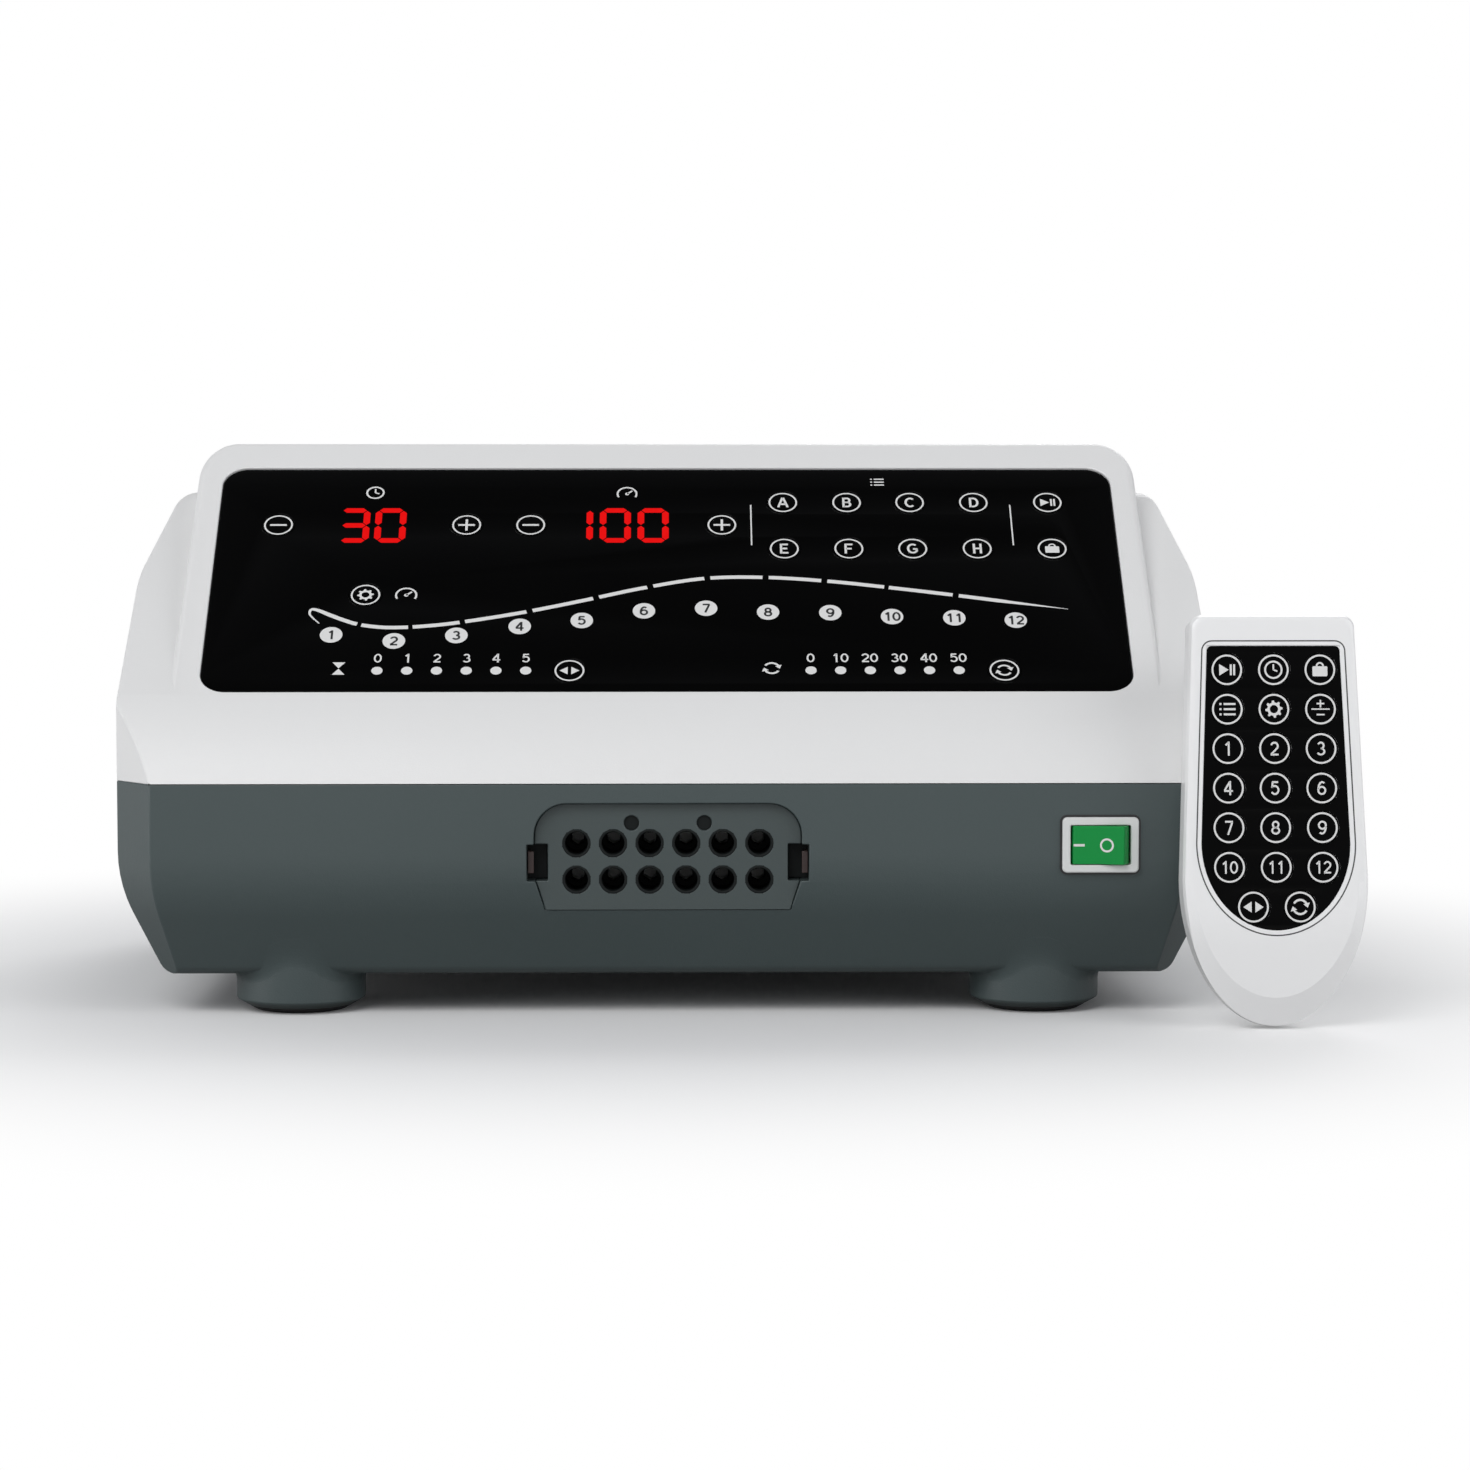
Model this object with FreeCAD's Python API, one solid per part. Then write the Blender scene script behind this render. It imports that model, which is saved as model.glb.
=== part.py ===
import FreeCAD, Part
import math
import os

# Desk console of a twelve-chamber compression therapy pump with its hand-held remote control.
# Millimetres. X runs to the console's right, Y to its back, Z up. The origin lies on the table,
# under the middle of the console.

V = FreeCAD.Vector

# ---------------------------------------------------------------- console, outer form
WIDTH = 340.0             # across the side walls
DEPTH = 240.0             # front wall to back wall
SEAM_Z = 72.5             # parting line between cover and lower housing
BASE_Z = 12.5             # underside of the lower housing
TAPER_Z = 40.5            # below this height the lower housing tapers inward
TAPER = 13.6              # how far each wall comes in at the underside
TAPER_ROUND = 45.0        # roundness where the taper starts
BASE_ROUND = 5.0          # edge round at the underside
FACET_X = 12.0            # corner facet, taken off the width
FACET_Y = 16.0            # corner facet, taken off the depth
WALL = 3.0                # housing wall
SHOULDER_D = 110.0        # depth of the shoulder where the slope meets the top
SHOULDER_Z = 160.5        # height of the top
SHOULDER_ROUND = 14.0     # round between slope and top
CHAMFER_Z = 134.0         # height where the side walls lean in
CHAMFER_X = 9.4           # how far they have come in at the top
CHAMFER_ROUND = 24.0      # round where they start to lean in
SIDE_ROUND = 7.0          # round between side walls and top
STRIP_D = 18.9            # depth where the front strip ends and the panel plateau starts
STRIP_Z = 98.9            # height there
STRIP_BOW = 1.9           # bow of the front strip
PANEL_TILT = 41.1         # panel slope against the table, degrees
BACK_ROUND = 18.0         # round between top and back
LIP_H = 2.8               # tongue of the lower housing inside the cover
LIP_GAP = 0.2
OVER = 10.0               # construction pieces reach this far past what they cut
BITE = 0.5                # pieces that are fused overlap by this much

# ---------------------------------------------------------------- panel and plateau
PANEL_W = 290.0
PANEL_L = 104.5           # along the slope
PANEL_T = 3.0
PANEL_R = 8.0
PANEL_GAP = 0.3           # round the panel, in its pocket
PANEL_SUNK = 0.6          # panel face below the rim
RIM_SIDE = 8.5
RIM_TOP = 12.0
RIM_BOTTOM = 1.5
RIM_R = 12.0              # outer top corners of the plateau
RIM_ROUND = 3.0           # edge round of the rim, at its sides and top
HUMP_TOP = 30.0           # flat run behind the rim
HUMP_END_D = 200.0        # where the plateau has sunk into the top
HUMP_ROUND = 60.0         # round where it starts to fall
HUMP_SINK = 3.0           # how far below the top it ends
HUMP_SPREAD = 1.0         # its sides lean out by this much down to their foot
SHELF_T = 2.5             # ledge that carries the panel
LEDGE = 6.0               # its width above and below the window
LEDGE_SIDE = 12.0         # its width at the sides
LEDGE_R = 3.0             # corners of the window
KEY_D = 10.6
KEY_T = 2.2
KEY_GAP = 0.15            # round a key in its hole
KEY_TRAVEL = 0.4
PLUNGER_D = 4.0
BOARD_DROP = 12.0         # board face below the panel face
BOARD_T = 1.6
BOARD_PIN_D = 2.8         # pin through the control board
BOARD_PIN_OUT = 1.0       # its end past the board
BOARD_R = 3.0
HOLE_GAP = 0.1            # round a pin in its board
BOARD_IN = 2.0            # board ends short of the panel's ends
POST_IN = 6.0             # board posts in from the panel's ends
POST_EDGE = 5.0           # board posts in from the board's upper and lower edges
BOARD_END = 8.25          # board ends short of the panel's upper and lower edges
BOARD_L = PANEL_L - 2 * BOARD_END
SWITCH_A = 6.0            # key switch, square
SWITCH_H = 4.3
SWITCH_GAP = KEY_TRAVEL + 0.2      # plunger above its switch

# places on the panel: u is a share of its half width from the middle, v a share of its length from the
# lower edge
ROW_UPPER = 0.8440        # programmes A to D and start
ROW_DISPLAY = 0.7397      # displays and their keys
ROW_LOWER = 0.6306        # programmes E to H and lock
ROW_SINGLE = 0.4230       # individual pressure
ROW_FOOT = 0.0919         # hold and interval
CONSOLE_KEYS = {
    "key_time_minus": (-0.8676, ROW_DISPLAY),
    "key_time_plus": (-0.4483, ROW_DISPLAY),
    "key_pressure_minus": (-0.3055, ROW_DISPLAY),
    "key_pressure_plus": (0.1214, ROW_DISPLAY),
    "key_program_a": (0.2593, ROW_UPPER),
    "key_program_b": (0.4028, ROW_UPPER),
    "key_program_c": (0.5448, ROW_UPPER),
    "key_program_d": (0.6883, ROW_UPPER),
    "key_program_e": (0.2593, ROW_LOWER),
    "key_program_f": (0.4028, ROW_LOWER),
    "key_program_g": (0.5448, ROW_LOWER),
    "key_program_h": (0.6883, ROW_LOWER),
    "key_start_pause": (0.8552, ROW_UPPER),
    "key_lock": (0.8552, ROW_LOWER),
    "key_individual_pressure": (-0.6614, ROW_SINGLE),
    "key_hold": (-0.2110, ROW_FOOT),
    "key_interval": (0.7248, ROW_FOOT),
}
DISPLAYS = [(-0.6572, 25.0), (-0.0910, 31.0)]                    # place across, width in mm
DISPLAY_H = 19.0
CHAMBER_LAMPS = [
    (-0.7290, 0.2469), (-0.5924, 0.2201), (-0.4579, 0.2440), (-0.3214, 0.2833),
    (-0.1869, 0.3091), (-0.0517, 0.3512), (0.0841, 0.3627), (0.2193, 0.3455),
    (0.3552, 0.3426), (0.4897, 0.3254), (0.6255, 0.3196), (0.7593, 0.3091),
]
HOLD_DOT_U = -0.6241       # first hold lamp
INTERVAL_DOT_U = 0.3083    # first interval lamp
DOT_PITCH = 0.0638
DOTS = 6
LAMP_A = 3.0              # lamp body, square
LAMP_H = 2.0

# ---------------------------------------------------------------- feet and screws
FOOT_D = 40.0
FOOT_X = 115.0
FOOT_IN = 31.0            # foot axis behind the front wall and before the back wall
FOOT_EDGE_H = 2.0         # slanted lower edge of the foot
FOOT_EDGE_IN = 3.5
FOOT_SIDES = 32
PAD_D = 33.0
PAD_FACE_D = 27.6         # where it stands on the table
PAD_T = 1.5               # rubber below the foot
PAD_SIDES = 24
SCREW_X = 148.0
SCREW_IN = 28.0           # screw axis from the front and back walls
SCREW_BOSS_D = 12.0
SCREW_HEAD_D = 7.4
SCREW_HEAD_H = 3.0
SCREW_D = 3.9
SCREW_L = 16.0            # thread above the seam
SCREW_GAP = 0.3
SCREW_ROOM = 2.0          # hole deeper than the screw
SCREW_LAND = 12.0         # solid boss between screw head and seam

# ---------------------------------------------------------------- hose socket in the front wall
SOCKET_W = 82.0
SOCKET_TOP = 66.5
SOCKET_BOTTOM = 33.5
SOCKET_R = 10.0
SOCKET_CUT_Z = 43.7       # lower corners are cut from here
SOCKET_CUT_X = 3.3        # by this much at the lower edge
SOCKET_CUT_R = 2.0
SOCKET_SUNK = 3.0
SOCKET_FACE_T = 6.0
SOCKET_GAP = 0.15
FLANGE_OUT = 3.5
FLANGE_T = 2.5
FRAME_OUT = 1.5           # frame behind the wall, past the flange
PORT_D = 8.2
PORT_PITCH = 11.2
PORT_COLS = 6
PORT_ROWS = 2
PORT_TOP_Z = 54.1
PORT_DEEP = 18.0
PORT_WALL = 4.4
PORT_END = 4.0            # wall behind the ports
AIR_BORE_D = 4.0
DIMPLE_D = 4.6
DIMPLE_X = 11.15
DIMPLE_Z = 60.3
DIMPLE_DEEP = 1.2
LATCH_W = 6.4
LATCH_H = 11.3
LATCH_X = 40.0
LATCH_Z = 48.25
LATCH_DEEP = 6.0          # free depth before the clip
CLIP_T = 1.0
CLIP_HOOK = 0.8
CLIP_ARM_IN = 2.0         # arm in from the clip's ends
CLIP_GAP = 0.3

# ---------------------------------------------------------------- air distributor
BLOCK_H = 40.0
BLOCK_T = 16.0
CHAMBER_D = 34.0
CHAMBER_T = 10.0
ROTOR_D = 30.0
ROTOR_T = 6.0
ROTOR_GAP = 0.4
ROTOR_SLOT_W = 6.0
ROTOR_SLOT_L = 7.0
SHAFT_D = 5.0
SHAFT_GAP = 0.05
MOTOR_D = 36.0
MOTOR_L = 34.0
MOTOR_FLANGE_T = 3.0
MOTOR_CAP_L = 3.0
CHAMBER_WALL = 4.0
SHAFT_IN = 5.0            # rotor shaft into the block
INLET_IN = 7.0            # air inlet nozzle in from the block's end
NOZZLE_D = 8.0
NOZZLE_L = 8.0
HOSE_D = 10.0
HOSE_BORE = 6.0

# ---------------------------------------------------------------- compressor and power supply
PUMP_X = -60.0
PUMP_Y = 42.0
PUMP_W = 92.0
PUMP_L = 104.0
PUMP_H = 52.0
PUMP_HEAD = 16.0
PUMP_R = 8.0
PUMP_LIFT = 8.0           # rubber mounts
PUMP_HEAD_IN = 10.0       # head in from the body's sides
PUMP_HEAD_LOW = 4.0       # and from its top and floor
MOUNT_D = 14.0
MOUNT_IN = 12.0           # mounts in from the body's sides
FIN_IN = 8.0              # cooling fins in from the body's sides
FIN_T = 2.5
FIN_H = 5.0
FIN_PITCH = 9.0
FIN_COUNT = 4
SUPPLY_X = 92.0
SUPPLY_Y = 24.0
SUPPLY_W = 92.0
SUPPLY_L = 120.0
SUPPLY_T = 1.6
SUPPLY_LIFT = 8.0
STANDOFF_D = 7.0
SUPPLY_PIN_D = 4.0        # pin through the supply's board
SUPPLY_PIN_IN = 5.0       # its axis in from the board's edges
SUPPLY_R = 2.0
# transformer, heat sink and relay: middle across and along, width, length and height in mm
SUPPLY_BLOCKS = [(-16.0, -2.0, 36.0, 36.0, 30.0), (-38.5, -8.0, 3.0, 76.0, 26.0), (25.0, 14.0, 22.0, 16.0, 18.0)]
# capacitors: middle across and along, diameter, height
SUPPLY_CANS = [(22.0, -20.0, 22.0, 32.0), (-14.0, -42.0, 12.0, 20.0), (4.0, -42.0, 12.0, 20.0)]

# ---------------------------------------------------------------- power switch in the front wall
POWER_X = 132.3
POWER_Z = 53.75
BEZEL_W = 23.4
BEZEL_H = 17.0
BEZEL_T = 1.8
BEZEL_R = 1.5
SLOT_W = 18.4
SLOT_H = 12.2
ROCKER_H = 11.8
ROCKER_R = 9.0            # ends of the rocker turn on this radius
ROCKER_ANGLE = 9.0        # each way from the middle
ROCKER_RISE = 3.6         # its waist before the axis
ROCKER_IN = 3.4           # its axis behind the bezel face
PIVOT_D = 2.4
PIVOT_GAP = 0.05
PIVOT_OUT = 0.7           # pivots past the slot, at each end
PIVOT_END_GAP = 0.1
WELL_GAP = 1.0            # behind the rocker
ROCKER_BACK = 3.0         # rocker reaches this far behind its axis
SNAP_GAP = 0.2            # switch body in the wall
SWITCH_BODY_L = 20.0
SWITCH_WALL = 1.6
TAB_L = 8.0               # contact tabs behind the switch
TAB_H = 6.0
TAB_T = 0.8
TAB_X = 5.0

# ---------------------------------------------------------------- mains inlet in the back wall
MAINS_X = 105.0
MAINS_Z = 52.0
INLET_W = 48.0
INLET_H = 27.0
INLET_T = 2.5
CAVITY_W = 24.6
CAVITY_H = 17.0
CAVITY_L = 17.0
CAVITY_R = 1.0
CAVITY_CUT = 5.0          # cut upper corners
INLET_R = 3.0
INLET_HOLE_D = 3.4
INLET_HOLE_IN = 4.0       # holes in from the ends
INLET_WALL = 2.0
INLET_GAP = 0.25
PIN_L = 14.0
PIN_W = 2.0
PIN_H = 4.0
PIN_X = 7.0
PIN_Z = 2.0

# ---------------------------------------------------------------- vents in the back wall
VENT_X = -60.0
VENT_PITCH = 11.0
VENT_COUNT = 9
VENT_W = 4.6
VENT_LOW = 46.0
VENT_HIGH = 66.0

# ---------------------------------------------------------------- remote control
REMOTE_L = 124.0
REMOTE_W = 56.1           # widest
REMOTE_TOP_W = 50.1
REMOTE_CHIN = 44.2        # height of the round lower end
REMOTE_T = 20.0
REMOTE_CORNER = 3.8
REMOTE_SEAM = 11.0        # back face to parting line
REMOTE_WALL = 1.8
REMOTE_FRONT_T = 2.2
REMOTE_CHIN_DROP = 5.5    # front falls away over the chin
REMOTE_CHIN_START = 30.0
REMOTE_CHIN_ROUND = 60.0
REMOTE_BACK_STEPS = [(0.0, 5.5), (2.4, 2.0), (8.5, 0.0)]                 # height above the back, drawn in by
REMOTE_FRONT_STEPS = [(2.6, 0.0), (0.8, 0.6), (0.0, 2.2)]                # depth below the front, drawn in by
REMOTE_LEAN = 9.0         # degrees
REMOTE_X = 183.0
REMOTE_LIFT = 0.3         # above the table
REMOTE_AHEAD = 9.6        # back face at the table, before the console front
FIELD_TOP = 9.5           # black key field, from the top end
FIELD_BOTTOM = 95.6
FIELD_W = 45.0
FIELD_TOP_W = 40.4
FIELD_ROUND = 26.3
FIELD_SUNK = 0.4
R_KEY_D = 10.2
R_KEY_T = 2.8
R_KEY_GAP = 0.15
R_KEY_TRAVEL = 0.5
R_COL = 14.1
R_ROW = 11.95
R_ROW_1 = 16.8            # first row, from the top end
R_BOARD_Z = 12.9
R_BOARD_T = 1.5
R_BOARD_R = 2.0
R_BOARD_W = 42.0
R_BOARD_END = 8.0         # board goes this far past the first and last row
R_RIB = 3.0               # square ribs at the board's corners
R_SWITCH_A = 5.0
R_SWITCH_GAP = R_KEY_TRAVEL + 0.3    # key above its switch
CELL_D = 10.5
CELL_L = 44.5
CELL_GAP = 0.5
CELL_Y = 24.0             # lower end of the cells
CELL_WALL = 1.4
CELL_LIFT = 0.2           # above the door
NUB_D = 4.0
NUB_L = 1.0
DOOR_T = 1.6
DOOR_GAP = 0.25
DOOR_W = 23.6
DOOR_Y = 20.0
DOOR_L = 49.0
DOOR_R = 3.0
DOOR_LUG = 2.5            # room for the lugs below the door
LUG_W = 4.0
LUG_T = 1.2
LUG_IN = 5.0              # lugs in from the door's sides
LUG_OUT = 1.2             # lugs under the shell's edge
LUG_L = 2.0               # lugs along the door
LUG_GAP = 0.4
GRIP_W = 12.0
GRIP_L = 1.6
GRIP_IN = 2.4             # grip groove in from the door's upper edge
GRIP_DEEP = 0.6
REMOTE_KEYS = {
    "remote_key_start_pause": (0, 0), "remote_key_time": (1, 0), "remote_key_lock": (2, 0),
    "remote_key_mode": (0, 1), "remote_key_settings": (1, 1), "remote_key_level": (2, 1),
    "remote_key_01": (0, 2), "remote_key_02": (1, 2), "remote_key_03": (2, 2),
    "remote_key_04": (0, 3), "remote_key_05": (1, 3), "remote_key_06": (2, 3),
    "remote_key_07": (0, 4), "remote_key_08": (1, 4), "remote_key_09": (2, 4),
    "remote_key_10": (0, 5), "remote_key_11": (1, 5), "remote_key_12": (2, 5),
    "remote_key_hold": (0.5, 6), "remote_key_interval": (1.5, 6),
}

KEY_SIDES = 12            # flats of a round key, a port or a lamp hole
PIN_SIDES = 6             # flats of hidden posts, bores and screws
DRUM_SIDES = 20           # flats of the hidden round cases
FAR = 1000.0
FRONT = -DEPTH / 2
BACK = DEPTH / 2
HALF = WIDTH / 2


# ================================================================ outlines
def area_of(points):
    total = 0.0
    for (x0, y0), (x1, y1) in zip(points, points[1:] + points[:1]):
        total += x0 * y1 - x1 * y0
    return total / 2


def offset(corners, inward):
    """Corners (x, y, round) of a closed outline, moved inward, with their rounds following.
    A round so slight that it takes less than half of that distance stays sharp inside."""
    pts = [(c[0], c[1]) for c in corners]
    sign = 1.0 if area_of(pts) > 0 else -1.0
    moved = []
    n = len(pts)
    for i in range(n):
        ax, ay = pts[i - 1]
        bx, by = pts[i]
        cx, cy = pts[(i + 1) % n]
        la = math.hypot(bx - ax, by - ay)
        lb = math.hypot(cx - bx, cy - by)
        ux, uy = (bx - ax) / la, (by - ay) / la
        wx, wy = (cx - bx) / lb, (cy - by) / lb
        turn = (ux * wy - uy * wx) * sign
        nx, ny = -uy * sign, ux * sign
        mx, my = -wy * sign, wx * sign
        k = inward / (1 + nx * mx + ny * my)
        r = corners[i][2]
        bite = r * (math.sqrt(2 / max(1 + ux * wx + uy * wy, 1e-9)) - 1)
        r = max(r - inward, 0.0) if turn > 0 else (r + inward if r else 0.0)
        if bite < inward / 2:
            r = 0.0
        moved.append((bx + (nx + mx) * k, by + (ny + my) * k, r))
    return moved


def outline(corners, place):
    """Closed wire through the corners (x, y, round). place turns (x, y) into a point in space.
    A round that is too large for the edges beside it is limited by them."""
    n = len(corners)
    halves = []
    runs = []
    for i in range(n):
        p = V(corners[i][0], corners[i][1], 0)
        a = V(corners[i - 1][0], corners[i - 1][1], 0) - p
        b = V(corners[(i + 1) % n][0], corners[(i + 1) % n][1], 0) - p
        halves.append(a.getAngle(b) / 2)
        runs.append(corners[i][2] / math.tan(halves[i]))
    for i in range(n):
        j = (i + 1) % n
        room = math.hypot(corners[j][0] - corners[i][0], corners[j][1] - corners[i][1]) * 0.9995
        if runs[i] + runs[j] > room:
            scale = room / (runs[i] + runs[j])
            runs[i] *= scale
            runs[j] *= scale
    joints = []
    for i in range(n):
        p = V(corners[i][0], corners[i][1], 0)
        if runs[i] <= 1e-6:
            joints.append((p, None, p))
            continue
        a = V(corners[i - 1][0], corners[i - 1][1], 0) - p
        b = V(corners[(i + 1) % n][0], corners[(i + 1) % n][1], 0) - p
        a.normalize()
        b.normalize()
        r = runs[i] * math.tan(halves[i])
        middle = a + b
        middle.normalize()
        top = p + middle * (r / math.sin(halves[i]) - r)
        joints.append((p + a * runs[i], top, p + b * runs[i]))
    edges = []
    for i in range(n):
        start, top, end = joints[i]
        if top is not None:
            arc = Part.Arc(place(start.x, start.y), place(top.x, top.y), place(end.x, end.y))
            edges.append(arc.toShape())
        nxt = joints[(i + 1) % n][0]
        if end.sub(nxt).Length > 1e-6:
            edges.append(Part.LineSegment(place(end.x, end.y), place(nxt.x, nxt.y)).toShape())
    return Part.Wire(edges)


def prism_x(corners, x0, x1):
    """Outline in (depth from the front wall, height), drawn out across the width."""
    wire = outline(corners, lambda d, z: V(x0, FRONT + d, z))
    return Part.Face(wire).extrude(V(x1 - x0, 0, 0))


def prism_y(corners, y0, y1):
    """Outline in (x, height), drawn out front to back."""
    wire = outline(corners, lambda x, z: V(x, y0, z))
    return Part.Face(wire).extrude(V(0, y1 - y0, 0))


def prism_z(corners, z0, z1):
    """Outline in (x, y), drawn out upward."""
    wire = outline(corners, lambda x, y: V(x, y, z0))
    return Part.Face(wire).extrude(V(0, 0, z1 - z0))


def rect(w, h, r=0.0, cx=0.0, cy=0.0):
    return [
        (cx - w / 2, cy - h / 2, r), (cx + w / 2, cy - h / 2, r),
        (cx + w / 2, cy + h / 2, r), (cx - w / 2, cy + h / 2, r),
    ]


def block(x0, x1, y0, y1, z0, z1):
    return Part.makeBox(x1 - x0, y1 - y0, z1 - z0, V(x0, y0, z0))


def flats(d, n, cx, cy):
    """Regular outline with n flats, d across them. Small round pieces that repeat are drawn so."""
    r = d / 2 / math.cos(math.pi / n)
    turn = math.pi / n
    return [(cx + r * math.cos(turn + 2 * math.pi * i / n), cy + r * math.sin(turn + 2 * math.pi * i / n), 0)
            for i in range(n)]


def rod_y(d, x, z, y0, y1, n=0):
    if n:
        return prism_y(flats(d, n, x, z), y0, y1)
    return Part.makeCylinder(d / 2, y1 - y0, V(x, y0, z), V(0, 1, 0))


def rod_z(d, x, y, z0, z1, n=0):
    if n:
        return prism_z(flats(d, n, x, y), z0, z1)
    return Part.makeCylinder(d / 2, z1 - z0, V(x, y, z0), V(0, 0, 1))


def fuse(first, others):
    return first.multiFuse(others).removeSplitter() if others else first


def tapered(d0, d1, n, x, y, z0, z1):
    """Upright piece with n flats that is d0 across at its foot and d1 at its top."""
    ends = [outline(flats(d, n, x, y), lambda px, py, z=z: V(px, py, z)) for d, z in ((d0, z0), (d1, z1))]
    return Part.makeLoft(ends, True, True)


def round_edges(shape, r, wanted):
    """Rounds the edges whose middle point wanted() accepts."""
    picked = [e for e in shape.Edges if wanted(e, e.CenterOfMass)]
    return shape.makeFillet(r, picked)


def write(name, shape):
    solids = shape.Solids
    shape = solids[0] if len(solids) == 1 else Part.makeCompound(solids)
    shape.exportStep("parts/%s.step" % name)


# ================================================================ console frame of the sloped panel
TILT = math.radians(PANEL_TILT)
ALONG = V(0, math.cos(TILT), math.sin(TILT))
OUT = V(0, -math.sin(TILT), math.cos(TILT))
RIM_ORIGIN = V(0, FRONT + STRIP_D, STRIP_Z)
PANEL_ORIGIN = RIM_ORIGIN + ALONG * RIM_BOTTOM - OUT * PANEL_SUNK


def on_panel(shape, u=0.0, v=0.0):
    """Takes a shape drawn flat, with its face at z = 0, to the place (u, v) on the panel."""
    shape = shape.copy()
    shape.translate(V(u, v, 0))
    turn = FreeCAD.Rotation(V(1, 0, 0), PANEL_TILT)
    shape.Placement = FreeCAD.Placement(PANEL_ORIGIN, turn).multiply(shape.Placement)
    return shape


# ================================================================ outer forms of the two housings
def facets(inward, taper):
    """Corner facets as four long prisms whose section carries the taper."""
    along = math.hypot(FACET_X, FACET_Y)
    nx, ny = FACET_Y / along, FACET_X / along
    far = (HALF - FACET_X) * nx + BACK * ny - inward
    if taper:
        drawn = TAPER + TAPER * OVER / (TAPER_Z - BASE_Z)
        section = [(-FAR, BASE_Z - OVER, 0), (far - drawn, BASE_Z - OVER, 0),
                   (far, TAPER_Z, TAPER_ROUND), (far, SEAM_Z + OVER, 0), (-FAR, SEAM_Z + OVER, 0)]
    else:
        section = [(-FAR, BASE_Z, 0), (far, BASE_Z, 0), (far, FAR, 0), (-FAR, FAR, 0)]
    out = []
    for sx, sy in ((1, 1), (1, -1), (-1, 1), (-1, -1)):
        angle = math.degrees(math.atan2(sy * ny, sx * nx))
        wire = outline(section, lambda n, z: V(n, -FAR, z))
        slab = Part.Face(wire).extrude(V(0, 2 * FAR, 0))
        slab.rotate(V(0, 0, 0), V(0, 0, 1), angle)
        out.append(slab)
    return out


def strip_corner():
    """Where the tangents of the bowed front strip meet, and the radius of its bow."""
    chord = math.hypot(STRIP_D, STRIP_Z - SEAM_Z)
    lean = math.atan2(STRIP_Z - SEAM_Z, STRIP_D)
    half_turn = 2 * math.atan2(STRIP_BOW, chord / 2)
    leg = chord / 2 / math.cos(half_turn)
    start = lean + half_turn
    corner = (leg * math.cos(start), SEAM_Z + leg * math.sin(start))
    return corner, leg / math.tan(half_turn) * 0.999


def cover_side(low):
    corner, bow = strip_corner()
    foot = [(0, low, 0)] if low < SEAM_Z else []
    return foot + [
        (0, SEAM_Z, 0), (corner[0], corner[1], bow), (STRIP_D, STRIP_Z, 0),
        (SHOULDER_D, SHOULDER_Z, SHOULDER_ROUND), (DEPTH, SHOULDER_Z, BACK_ROUND), (DEPTH, low, 0),
    ]


def cover_front(low):
    return [
        (-HALF, low, 0), (-HALF, CHAMFER_Z, CHAMFER_ROUND), (-HALF + CHAMFER_X, SHOULDER_Z, SIDE_ROUND),
        (HALF - CHAMFER_X, SHOULDER_Z, SIDE_ROUND), (HALF, CHAMFER_Z, CHAMFER_ROUND), (HALF, low, 0),
    ]


def hump_foot():
    """Height inside the cover from which the plateau is drawn up."""
    return STRIP_Z - 2 * OVER


def hump_side():
    rim = RIM_BOTTOM + PANEL_L + RIM_TOP
    top_d = STRIP_D + rim * math.cos(TILT)
    top_z = STRIP_Z + rim * math.sin(TILT)
    return [
        (STRIP_D, STRIP_Z, 0), (top_d, top_z, 0), (top_d + HUMP_TOP, top_z, HUMP_ROUND),
        (HUMP_END_D, SHOULDER_Z - HUMP_SINK, 0), (HUMP_END_D, hump_foot(), 0), (STRIP_D, hump_foot(), 0),
    ]


def hump_front():
    half = PANEL_W / 2 + RIM_SIDE
    top = STRIP_Z + (RIM_BOTTOM + PANEL_L + RIM_TOP) * math.sin(TILT)
    return [
        (-half - HUMP_SPREAD, hump_foot(), 0), (-half, top, RIM_R), (half, top, RIM_R),
        (half + HUMP_SPREAD, hump_foot(), 0),
    ]


def cover_form(inward):
    low = SEAM_Z - (inward + OVER / 2 if inward else 0.0)
    side = offset(cover_side(low), inward)
    front = offset(cover_front(low), inward)
    form = prism_x(side, -FAR, FAR).common(prism_y(front, -FAR, FAR))
    for slab in facets(inward, False):
        form = form.common(slab)
    hump = prism_x(offset(hump_side(), inward), -FAR, FAR)
    hump = hump.common(prism_y(offset(hump_front(), inward), -FAR, FAR))
    if inward:
        return form.fuse(hump)
    hump = round_edges(hump, RIM_ROUND, hump_rim_edge)
    return form.fuse(hump).removeSplitter()


def hump_rim_edge(edge, middle):
    """The edges round the plateau's rim: they lie in the rim plane, above its lower end."""
    off = (middle - RIM_ORIGIN).dot(OUT)
    up = (middle - RIM_ORIGIN).dot(ALONG)
    flat = all(abs((v.Point - RIM_ORIGIN).dot(OUT)) < 0.2 for v in edge.Vertexes)
    return flat and abs(off) < 0.2 and up > 2.0


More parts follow.
